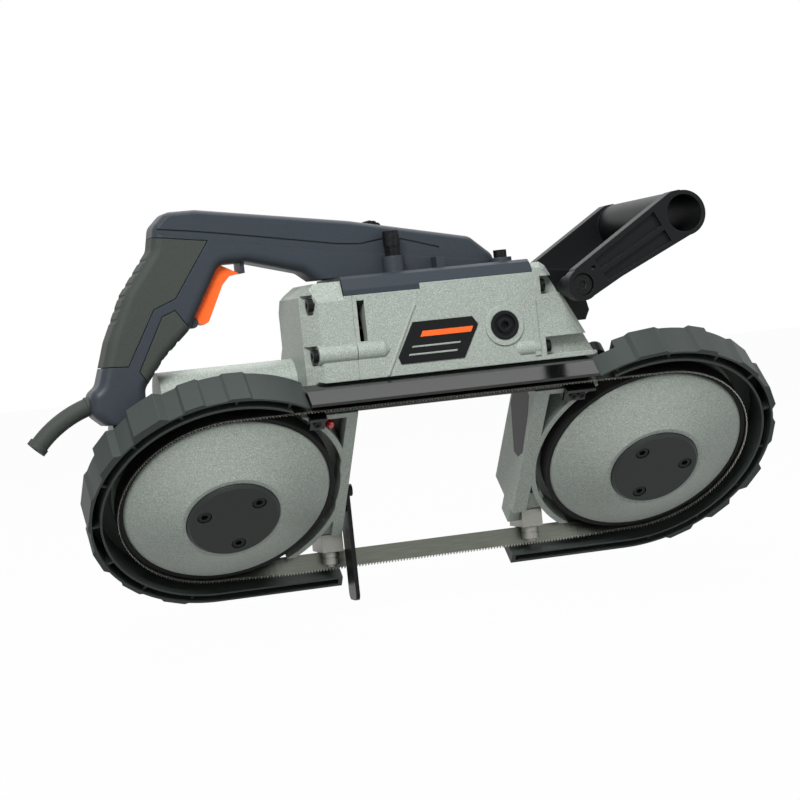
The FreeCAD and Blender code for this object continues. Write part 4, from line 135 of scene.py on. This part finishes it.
@dataclass(frozen=True)
class Finish:
    """A surface: two close colours mixed by a fine grain, which also gives the bump and the roughness."""

    name: str
    colour: str
    shade: str
    roughness: float
    metallic: float = 0.0
    gloss: float = 0.25
    coat: float = 0.0
    grain: float = 0.7 * MM
    relief: float = 0.05 * MM
    spread: float = 0.06
    stretch: tuple[float, float, float] = (1.0, 1.0, 1.0)
    corner: float = 0.5 * MM
    # A paler colour painted along the edges as a highlight, standing in for light caught there; empty for
    # none.
    edge_highlight: str = ""
    octaves: float = 3.0
    grain_range: tuple[float, float] = (0.3, 0.7)
    colour_range: tuple[float, float] = (0.35, 0.65)
    bump_strength: float = 0.6
    bevel_samples: int = 4
    # Where the painted edge highlight starts and peaks, and how much of it is mixed in.
    highlight_range: tuple[float, float] = (0.98, 0.8)
    highlight_share: float = 0.7

    def build(self) -> bpy.types.Material:
        """Make the finished material.

        Returns:
            The material, its grain, bump, rounded edges and colour all from nodes.
        """
        material = bpy.data.materials.new(self.name)
        material.use_nodes = True
        tree = material.node_tree
        shader = tree.nodes["Principled BSDF"]
        shader.inputs["Metallic"].default_value = self.metallic
        shader.inputs["Specular IOR Level"].default_value = self.gloss
        shader.inputs["Coat Weight"].default_value = self.coat
        place = add_node(tree, "ShaderNodeTexCoord")
        laid = add_node(tree, "ShaderNodeMapping", Vector=place.outputs["Object"], Scale=self.stretch)
        noise = add_node(tree, "ShaderNodeTexNoise", Vector=laid.outputs["Vector"], Scale=1 / self.grain,
                         Detail=self.octaves)
        low, high = self.grain_range
        rough = add_node(tree, "ShaderNodeMapRange", Value=noise.outputs["Fac"], From_Min=low, From_Max=high,
                         To_Min=self.roughness - self.spread, To_Max=self.roughness + self.spread)
        tree.links.new(rough.outputs["Result"], shader.inputs["Roughness"])
        soft = add_node(tree, "ShaderNodeBevel", {"samples": self.bevel_samples}, Radius=self.corner)
        bump = add_node(tree, "ShaderNodeBump", Height=noise.outputs["Fac"], Distance=self.relief,
                        Strength=self.bump_strength, Normal=soft.outputs["Normal"])
        tree.links.new(bump.outputs["Normal"], shader.inputs["Normal"])
        tint = self.tint(tree, laid.outputs["Vector"], noise.outputs["Fac"])
        # Painted highlight: the colour turns paler along the edges.
        if self.edge_highlight:
            tint = self.paint_highlight_on_edges(tree, tint, soft.outputs["Normal"])
        tree.links.new(tint, shader.inputs["Base Color"])
        return material

    def tint(self, tree: bpy.types.NodeTree, place: bpy.types.NodeSocket,
             grain: bpy.types.NodeSocket) -> bpy.types.NodeSocket:
        """Mix the surface's two colours.

        Args:
            tree: The material's node tree.
            place: Where the pattern is laid, which isn't used here.
            grain: The grain's height, from 0 to 1.

        Returns:
            The socket that carries the colour.
        """
        ramp = add_node(tree, "ShaderNodeValToRGB", Fac=grain)
        colours = (self.shade, self.colour)
        for element, position, colour in zip(ramp.color_ramp.elements, self.colour_range, colours):
            element.position = position
            element.color = linear(colour)
        return ramp.outputs["Color"]

    def paint_highlight_on_edges(self, tree: bpy.types.NodeTree, tint: bpy.types.NodeSocket,
             rounded: bpy.types.NodeSocket) -> bpy.types.NodeSocket:
        """Paint the colour lighter along the edges as a painted highlight, where the rounded normal leaves
        the face's own.

        Args:
            tree: The material's node tree.
            tint: The colour so far.
            rounded: The normal with rounded edges.

        Returns:
            The socket that carries the colour with its painted edge highlight.
        """
        face = add_node(tree, "ShaderNodeNewGeometry")
        turn = add_node(tree, "ShaderNodeVectorMath", {"operation": "DOT_PRODUCT"}, slot_0=rounded,
                        slot_1=face.outputs["True Normal"])
        start, full = self.highlight_range
        edge = add_node(tree, "ShaderNodeMapRange", Value=turn.outputs["Value"], From_Min=start,
                        From_Max=full, To_Min=0.0, To_Max=self.highlight_share)
        mix = add_node(tree, "ShaderNodeMix", {"data_type": "RGBA"}, slot_0=edge.outputs["Result"],
                       slot_6=tint, slot_7=linear(self.edge_highlight))
        return mix.outputs[2]


@dataclass(frozen=True)
class FleckPaint(Finish):
    """Silver paint with aluminium flakes: each small cell of the coat has a brightness of its own."""

    light: str = "#AEB5AE"
    fleck: float = 0.5 * MM
    even_range: tuple[float, float] = (0.25, 0.75)

    def tint(self, tree: bpy.types.NodeTree, place: bpy.types.NodeSocket,
             grain: bpy.types.NodeSocket) -> bpy.types.NodeSocket:
        """Give each flake its brightness.

        Args:
            tree: The material's node tree.
            place: Where the flakes are laid.
            grain: The grain's height, which isn't used here.

        Returns:
            The socket that carries the colour.
        """
        cells = add_node(tree, "ShaderNodeTexVoronoi", Vector=place, Scale=1 / self.fleck)
        spread = add_node(tree, "ShaderNodeSeparateColor", Color=cells.outputs["Color"])
        ramp = add_node(tree, "ShaderNodeValToRGB", Fac=spread.outputs["Red"])
        ramp.color_ramp.elements[0].color = linear(self.shade)
        ramp.color_ramp.elements[1].color = linear(self.light)
        for position in self.even_range:
            ramp.color_ramp.elements.new(position).color = linear(self.colour)
        return ramp.outputs["Color"]


FINISHES: dict[Slot, Finish] = {
    # Die-cast aluminium under silver fleck paint: satin, faintly green grey, specks of flake 0.5 mm across
    # (drawn about four times as coarse as the real flakes, so that they show). The edges get a paler painted
    # highlight.
    Slot.SILVER_PAINT: FleckPaint("silver_fleck_paint_on_cast_aluminium", "#939B94", "#798179", 0.45,
                                  metallic=0.12, grain=1.2 * MM, relief=0.035 * MM, corner=0.7 * MM,
                                  edge_highlight="#BAC1BA"),
    # Glass-filled nylon, moulded: matt dark grey with a spark-eroded grain and a paler painted
    # highlight along the edges.
    Slot.GUARD_PLASTIC: Finish("moulded_nylon_guard", "#393F3D", "#333937", 0.5, gloss=0.18, edge_highlight="#5E6562"),
    # Sheet steel in stoved black enamel: mirror gloss with a faint orange peel, and a paler painted
    # highlight along the edges.
    Slot.BLACK_GLOSS: Finish("stoved_black_enamel", "#0B0C0C", "#080909", 0.14, gloss=0.4, grain=2.5 * MM,
                             relief=0.03 * MM, spread=0.03, edge_highlight="#3A3D3C"),
    # ABS, moulded: blue-grey, satin, with a fine grain.
    Slot.HANDLE_PLASTIC: Finish("moulded_blue_grey_abs", "#2E343B", "#292F36", 0.46, corner=0.8 * MM),
    # Thermoplastic rubber, overmoulded: soft, matt, slightly olive.
    Slot.GRIP_RUBBER: Finish("overmoulded_grip_rubber", "#383D39", "#313632", 0.68, grain=1.2 * MM,
                             relief=0.14 * MM, corner=0.8 * MM),
    # ABS, moulded in bright orange: satin.
    Slot.ORANGE_PLASTIC: Finish("moulded_orange_abs", "#F8682A", "#F26022", 0.42, relief=0.03 * MM),
    # Nylon, moulded: dark neutral grey, satin.
    Slot.CAP_PLASTIC: Finish("moulded_nylon_cap", "#222726", "#1D2221", 0.45),
    # Nylon, moulded: near black, satin, with edges that catch the light and a paler painted highlight
    # along them.
    Slot.BLACK_PLASTIC: Finish("moulded_black_nylon", "#0E1011", "#0B0D0E", 0.42, gloss=0.15,
                               corner=0.8 * MM, edge_highlight="#2C3031"),
    # Rolled spring steel: drawn lines along the band.
    Slot.BLADE_STEEL: Finish("rolled_spring_steel", "#6F726A", "#65685F", 0.38, metallic=1.0, grain=0.9 * MM,
                             relief=0.004 * MM, spread=0.06, stretch=(0.05, 1.0, 1.0), corner=0.1 * MM),
    # Ground bearing steel: satin grey metal with an uneven sheen from fine grinding marks.
    Slot.BRIGHT_STEEL: Finish("ground_bearing_steel", "#94948E", "#7C7C76", 0.48, metallic=1.0,
                              grain=0.5 * MM, relief=0.01 * MM, spread=0.12, corner=0.3 * MM),
    # Black oxide on steel screws: dark, half-metal sheen, uneven, with a paler painted highlight along the
    # edges.
    Slot.BLACK_STEEL: Finish("black_oxide_steel", "#1A1B1C", "#0F1011", 0.36, metallic=0.5, grain=1.5 * MM,
                             relief=0.02 * MM, spread=0.1, corner=0.3 * MM, edge_highlight="#4A4B4B"),
    # Turned copper: warm metal with a fine, uneven sheen.
    Slot.COPPER: Finish("turned_copper", "#B87445", "#9C5E36", 0.3, metallic=1.0, grain=0.6 * MM,
                        spread=0.08),
    # Stacked sheet steel: dull, lined across the shaft.
    Slot.LAMINATION: Finish("stacked_sheet_steel", "#5A5B5F", "#434448", 0.5, metallic=1.0, grain=0.5 * MM,
                            stretch=(1.0, 0.05, 0.05)),
    # Ground rubber: dull black with a dusty nap.
    Slot.TYRE_RUBBER: Finish("ground_black_rubber", "#1C1D1C", "#141514", 0.85, grain=1.0 * MM,
                             relief=0.12 * MM),
    # Acrylic, moulded in red: clear gloss over a fine relief.
    Slot.RED_LENS: Finish("moulded_red_acrylic", "#D01818", "#8E0C0C", 0.12, gloss=0.5, coat=0.5,
                          grain=1.2 * MM, relief=0.1 * MM, spread=0.04),
    # Cast bronze: yellow-brown metal, slightly uneven.
    Slot.BRONZE: Finish("cast_bronze", "#A07838", "#86632C", 0.35, metallic=1.0, grain=1.5 * MM, spread=0.08),
    # Pressed carbon: dull grey-black, granular.
    Slot.CARBON: Finish("pressed_carbon", "#222222", "#161616", 0.7, grain=0.6 * MM, relief=0.08 * MM),
}


class Finishes:
    """Builds each slot's material once and hands it out."""

    def __init__(self) -> None:
        """Start with nothing built."""
        self.built: dict[Slot, bpy.types.Material] = {}

    def get(self, slot: Slot) -> bpy.types.Material:
        """Give a slot's material.

        Args:
            slot: The record's slot.

        Returns:
            The material, made at the first call.
        """
        if slot not in self.built:
            self.built[slot] = FINISHES[slot].build()
        return self.built[slot]

    def dress(self, piece: bpy.types.Object, slot: Slot, body: str) -> None:
        """Give a new piece its slot's material and its body.

        Args:
            piece: The piece.
            slot: The record's slot for its finish.
            body: The CAD body that it moves with.
        """
        piece.data.materials.clear()
        piece.data.materials.append(self.get(slot))
        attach(piece, body)
        log.info("piece %s on %s", piece.name, body)

    def dress_frame(self) -> None:
        """Give every CAD node the material of its slot."""
        slots = {entry["node"]: Slot(entry["material_slot"]) for entry in frame["record"]["subparts"]}
        for name, node in frame["nodes"].items():
            node.data.materials.clear()
            node.data.materials.append(self.get(slots[name]))
            log.info("node %s in %s", name, slots[name].value)


@dataclass(frozen=True)
class WheelPlane:
    """The leaning plane of the blade wheels: across it, up it and out of it towards the tooth side."""

    lean: float = math.radians(132.0)

    def turn(self) -> Matrix:
        """Give the rotation from the wheels' plane to the saw's frame."""
        return Matrix.Rotation(self.lean, 3, "X")


@dataclass
class BladeTeeth:
    """The blade's teeth: small raked wedges along the front edge of the whole loop, set to either side."""

    pitch: float = 2.31 * MM
    root: float = 1.8 * MM
    sunk: float = 0.05 * MM
    height: float = 1.6 * MM
    gauge: float = 0.6 * MM
    set_off: float = 0.2 * MM
    tip: float = 0.2
    rake: float = 0.45 * MM
    wheel_span: float = 321.0 * MM
    path_radius: float = 79.5 * MM
    width: float = 12.7 * MM
    full_turn: float = math.radians(48.0)
    settled_rear: float = 84.0 * MM
    settled_front: float = 87.5 * MM

    def model_tooth(self) -> bpy.types.Object:
        """Shape one tooth from a block: its crown is narrowed and pushed along the cut.

        Returns:
            The tooth, its root at the origin, pointing up.
        """
        bpy.ops.object.select_all(action="DESELECT")
        bpy.ops.mesh.primitive_cube_add(size=1.0, location=(0.0, 0.0, 0.0))
        tooth = bpy.context.active_object
        bpy.ops.object.mode_set(mode="EDIT")
        bpy.ops.mesh.select_all(action="SELECT")
        bpy.ops.transform.resize(value=(self.root, self.gauge, self.height))
        bpy.ops.transform.translate(value=(0.0, 0.0, 0.5 * self.height - self.sunk))
        bpy.ops.mesh.select_all(action="DESELECT")
        bpy.ops.object.mode_set(mode="OBJECT")
        for vertex in tooth.data.vertices:
            vertex.select = vertex.co.z > 0.5 * self.height
        bpy.ops.object.mode_set(mode="EDIT")
        bpy.ops.transform.resize(value=(self.tip, 1.0, 1.0))
        bpy.ops.transform.translate(value=(self.rake, self.set_off, 0.0))
        bpy.ops.object.mode_set(mode="OBJECT")
        return tooth

    def place(self, run: float) -> Matrix:
        """Find a tooth's place at a distance along the loop.

        Args:
            run: The distance from the upper run's rear end.

        Returns:
            The tooth's placement in the wheels' plane: along the cut, through the band, out of its edge.
        """
        half = 0.5 * self.wheel_span
        arc = math.pi * self.path_radius
        if run < self.wheel_span:
            root = Vector((run - half, self.path_radius, 0.0))
            return self.frame_at(root, Vector((1.0, 0.0, 0.0)), OUT_OF_PLANE)
        run -= self.wheel_span
        if run < arc:
            return self.on_wheel(half, 0.5 * math.pi - run / self.path_radius)
        run -= arc
        if run < self.wheel_span:
            return self.on_lower_run(half - run)
        return self.on_wheel(-half, -0.5 * math.pi - (run - self.wheel_span) / self.path_radius)

    def on_wheel(self, centre: float, angle: float) -> Matrix:
        """Place a tooth round a wheel.

        Args:
            centre: The wheel's middle, across.
            angle: The place round the wheel.

        Returns:
            The tooth's placement.
        """
        out = Vector((math.cos(angle), math.sin(angle), 0.0))
        along = Vector((out.y, -out.x, 0.0))
        root = Vector((centre, 0.0, 0.0)) + out * self.path_radius
        return self.frame_at(root, along, OUT_OF_PLANE)

    def on_lower_run(self, across: float) -> Matrix:
        """Place a tooth on the lower run, where the band turns upright between the guides.

        Args:
            across: The place across the wheels' plane.

        Returns:
            The tooth's placement.
        """
        settled = self.settled_front if across > 0 else self.settled_rear
        half = 0.5 * self.wheel_span
        part = min(1.0, (half - abs(across)) / (half - settled))
        eased = part * part * (3 - 2 * part)
        turned = self.full_turn * eased
        out = Vector((0.0, -math.sin(turned), math.cos(turned)))
        middle = Vector((across, -self.path_radius, -0.5 * self.width))
        return self.frame_at(middle + out * 0.5 * self.width, Vector((-1.0, 0.0, 0.0)), out)

    def frame_at(self, place: Vector, along: Vector, out: Vector) -> Matrix:
        """Turn a place and two directions into a placement.

        Args:
            place: The tooth's root.
            along: The way that the band runs.
            out: The way that the tooth points.

        Returns:
            The placement.
        """
        turn = Matrix((along, out.cross(along), out)).transposed()
        return Matrix.Translation(place) @ turn.to_4x4()

    def build(self, finishes: Finishes) -> None:
        """Copy the tooth round the loop and join the copies.

        Args:
            finishes: The materials.
        """
        tooth = self.model_tooth()
        loop = 2 * self.wheel_span + 2 * math.pi * self.path_radius
        count = 2 * round(0.5 * loop / self.pitch)
        lean = WheelPlane().turn().to_4x4()
        sides = (Matrix.Identity(4), Matrix.Scale(-1.0, 4, Vector((0.0, 1.0, 0.0))))
        copies = []
        for index in range(count):
            copy = bpy.data.objects.new("tooth", tooth.data.copy())
            copy.data.transform(lean @ self.place(loop * (index + 0.5) / count) @ sides[index % 2])
            if index % 2:
                copy.data.flip_normals()
            bpy.context.collection.objects.link(copy)
            copies.append(copy)
        bpy.data.objects.remove(tooth)
        bpy.ops.object.select_all(action="DESELECT")
        for copy in copies:
            copy.select_set(True)
        bpy.context.view_layer.objects.active = copies[0]
        bpy.ops.object.join()
        teeth = bpy.context.active_object
        teeth.name = "blade_teeth"
        finishes.dress(teeth, Slot.BRIGHT_STEEL, "saw_body")


@dataclass
class TensionSpring:
    """The spring behind the idler's slide, which shortens as the slide goes back; it is drawn at one length.
    """

    wire_radius: float = 0.8 * MM
    coil_radius: float = 4.6 * MM
    travel: float = 5.0 * MM
    turns: int = 7
    steps: int = 24
    wire_sides: int = 10

    def wind(self, length: float) -> bpy.types.Object:
        """Wind the wire along +X, its ends closed.

        Args:
            length: The spring's length over its wire.

        Returns:
            The spring, its rear end at the origin.
        """
        bpy.ops.object.select_all(action="DESELECT")
        bpy.ops.mesh.primitive_circle_add(vertices=self.wire_sides, radius=self.wire_radius,
                                          location=(self.wire_radius, self.coil_radius, 0.0))
        coil = bpy.context.active_object
        coil.name = "wound_tension_spring"
        bpy.ops.object.transform_apply(location=True, rotation=True, scale=True)
        winding = coil.modifiers.new("winding", "SCREW")
        winding.axis = "X"
        winding.screw_offset = (length - 2 * self.wire_radius) / self.turns
        winding.iterations = self.turns
        winding.steps = self.steps
        winding.render_steps = self.steps
        bpy.ops.object.modifier_apply(modifier=winding.name)
        bpy.ops.object.mode_set(mode="EDIT")
        bpy.ops.mesh.select_all(action="SELECT")
        bpy.ops.mesh.fill_holes(sides=0)
        bpy.ops.mesh.normals_make_consistent(inside=False)
        bpy.ops.object.mode_set(mode="OBJECT")
        return coil

    def build(self, finishes: Finishes) -> None:
        """Put the spring in its CAD node's place.

        Args:
            finishes: The materials.
        """
        low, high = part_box("tension_spring")
        length = high.x - low.x
        axis_at = (low.x, 0.5 * (low.y + high.y), 0.5 * (low.z + high.z))
        coil = self.wind(length)
        bpy.ops.object.mode_set(mode="EDIT")
        bpy.ops.mesh.select_all(action="SELECT")
        bpy.ops.transform.translate(value=axis_at)
        bpy.ops.object.mode_set(mode="OBJECT")
        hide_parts("tension_spring")
        finishes.dress(coil, Slot.BRIGHT_STEEL, "saw_body")
        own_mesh(coil)


@dataclass
class PlateMarks:
    """Plain bars on the bare rating plate, printed in paint: a wide one and two thin ones, all slanted."""

    thickness: float = 0.12 * MM
    slant: float = 0.52
    wide_middle: tuple[float, float] = (1.0 * MM, 105.0 * MM)
    wide_length: float = 38.0 * MM
    wide_height: float = 4.0 * MM
    line_heights: tuple[float, float] = (96.5 * MM, 91.0 * MM)
    line_across: float = -7.0 * MM
    line_length: float = 36.0 * MM
    line_height: float = 1.2 * MM

    def bar(self, name: str, middle: tuple[float, float], length: float, height: float) -> bpy.types.Object:
        """Print one bar.

        Args:
            name: The bar's name.
            middle: Its middle across and up, in the saw's frame.
            length: Its length.
            height: Its height.

        Returns:
            The bar.
        """
        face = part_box("rating_plate")[0].y
        bpy.ops.object.select_all(action="DESELECT")
        bpy.ops.mesh.primitive_plane_add(size=1.0, rotation=(0.5 * math.pi, 0.0, 0.0))
        mark = bpy.context.active_object
        mark.name = name
        bpy.ops.object.transform_apply(location=True, rotation=True, scale=True)
        bpy.ops.object.mode_set(mode="EDIT")
        bpy.ops.mesh.select_all(action="SELECT")
        bpy.ops.transform.resize(value=(length, 1.0, height))
        bpy.ops.transform.translate(value=(middle[0], face, middle[1]))
        bpy.ops.mesh.select_all(action="DESELECT")
        bpy.ops.object.mode_set(mode="OBJECT")
        for vertex in mark.data.vertices:
            vertex.select = vertex.co.z > middle[1]
        bpy.ops.object.mode_set(mode="EDIT")
        bpy.ops.transform.translate(value=(self.slant * height, 0.0, 0.0))
        bpy.ops.mesh.select_all(action="SELECT")
        bpy.ops.mesh.extrude_region_move(TRANSFORM_OT_translate={"value": (0.0, -self.thickness, 0.0)})
        bpy.ops.mesh.select_all(action="SELECT")
        bpy.ops.mesh.normals_make_consistent(inside=False)
        bpy.ops.object.mode_set(mode="OBJECT")
        return mark

    def build(self, finishes: Finishes) -> None:
        """Print the bars.

        Args:
            finishes: The materials.
        """
        wide = self.bar("plate_bar", self.wide_middle, self.wide_length, self.wide_height)
        finishes.dress(wide, Slot.ORANGE_PLASTIC, "saw_body")
        for index, height in enumerate(self.line_heights):
            across = self.line_across - self.slant * (self.line_heights[0] - height)
            thin = self.bar(f"plate_line_{index}", (across, height), self.line_length, self.line_height)
            finishes.dress(thin, Slot.SILVER_PAINT, "saw_body")


@dataclass(frozen=True)
class Lamp:
    """A soft square lamp: where it hangs, the length of its side and its power in watts."""

    name: str
    at: tuple[float, float, float]
    reach: float
    watts: float

    def hang(self) -> None:
        """Hang the lamp so that it faces the saw."""
        light = bpy.data.lights.new(self.name, "AREA")
        light.size = self.reach
        light.energy = self.watts
        holder = bpy.data.objects.new(self.name, light)
        holder.location = self.at
        holder.rotation_euler = (-Vector(self.at)).to_track_quat("-Z", "Y").to_euler()
        bpy.context.collection.objects.link(holder)


@dataclass
class Studio:
    """Camera, lamps, floor and background."""

    camera_at: tuple[float, float, float] = (-0.5367, -1.7578, 0.1068)
    camera_right: tuple[float, float, float] = (0.954, -0.280, -0.104)
    camera_up: tuple[float, float, float] = (0.107, -0.004, 0.994)
    focal_pixels: float = 2524.8
    frame_pixels: float = 800.0
    sensor: float = 36.0
    floor_height: float = -0.098
    floor_reach: float = 12.0
    floor_grey: str = "#A8A8A8"
    floor_white: float = 0.975
    world_light: float = 0.12
    lamps: tuple[Lamp, ...] = (
        Lamp("key", (-0.8, -1.8, 1.7), 1.0, 86.0),
        Lamp("top", (0.3, 1.1, 2.3), 2.6, 46.0),
        Lamp("fill", (1.8, -1.7, 0.8), 1.2, 8.0),
    )

    def place_camera(self) -> None:
        """Stand the camera where the photograph was taken from."""
        camera = bpy.data.cameras.new("camera")
        camera.sensor_width = self.sensor
        camera.lens = self.focal_pixels / self.frame_pixels * self.sensor
        holder = bpy.data.objects.new("camera", camera)
        right = Vector(self.camera_right).normalized()
        up = Vector(self.camera_up)
        up = (up - right * up.dot(right)).normalized()
        back = right.cross(up)
        turn = Matrix((right, up, back)).transposed().to_4x4()
        holder.matrix_world = Matrix.Translation(self.camera_at) @ turn
        bpy.context.collection.objects.link(holder)
        bpy.context.scene.camera = holder

    def seen(self, tree: bpy.types.NodeTree) -> bpy.types.NodeSocket:
        """Tell rays that show the background, in the picture or in gloss and glass, from those that light.

        Args:
            tree: The node tree.

        Returns:
            The socket that is one for such a ray.
        """
        path = add_node(tree, "ShaderNodeLightPath")
        gloss = add_node(tree, "ShaderNodeMath", {"operation": "MAXIMUM"},
                         slot_0=path.outputs["Is Glossy Ray"], slot_1=path.outputs["Is Transmission Ray"])
        both = add_node(tree, "ShaderNodeMath", {"operation": "MAXIMUM"},
                        slot_0=path.outputs["Is Camera Ray"], slot_1=gloss.outputs[0])
        return both.outputs[0]

    def light(self) -> None:
        """Hang the lamps and set the white surroundings."""
        for lamp in self.lamps:
            lamp.hang()
        world = bpy.data.worlds.new("studio")
        world.use_nodes = True
        bpy.context.scene.world = world
        tree = world.node_tree
        tree.nodes.clear()
        plain = add_node(tree, "ShaderNodeBackground", Color=linear(WHITE), Strength=self.world_light)
        white = add_node(tree, "ShaderNodeBackground", Color=linear(WHITE), Strength=1.0)
        mix = add_node(tree, "ShaderNodeMixShader", slot_0=self.seen(tree), slot_1=plain.outputs[0],
                       slot_2=white.outputs[0])
        add_node(tree, "ShaderNodeOutputWorld", Surface=mix.outputs[0])

    def lay_floor(self) -> None:
        """Lay the pale floor, which keeps a trace of the saw's shadow."""
        bpy.ops.object.select_all(action="DESELECT")
        bpy.ops.mesh.primitive_plane_add(size=2 * self.floor_reach, location=(0, 0, self.floor_height))
        floor = bpy.context.active_object
        floor.name = "floor"
        material = bpy.data.materials.new("pale_floor")
        material.use_nodes = True
        tree = material.node_tree
        tree.nodes.clear()
        pale = add_node(tree, "ShaderNodeBsdfDiffuse", Color=linear(self.floor_grey))
        white = add_node(tree, "ShaderNodeEmission", Color=linear(WHITE), Strength=1.0)
        share = add_node(tree, "ShaderNodeMath", {"operation": "MULTIPLY"}, slot_0=self.seen(tree),
                         slot_1=self.floor_white)
        mix = add_node(tree, "ShaderNodeMixShader", slot_0=share.outputs[0], slot_1=pale.outputs[0],
                       slot_2=white.outputs[0])
        add_node(tree, "ShaderNodeOutputMaterial", Surface=mix.outputs[0])
        floor.data.materials.append(material)

    def build(self) -> None:
        """Set up the whole studio."""
        bpy.context.scene.view_settings.view_transform = "Standard"
        self.place_camera()
        self.light()
        self.lay_floor()


def main() -> None:
    """Dress the saw and set up the studio."""
    finishes = Finishes()
    finishes.dress_frame()
    BladeTeeth().build(finishes)
    TensionSpring().build(finishes)
    PlateMarks().build(finishes)
    Studio().build()


if __name__ == "__main__":
    main()
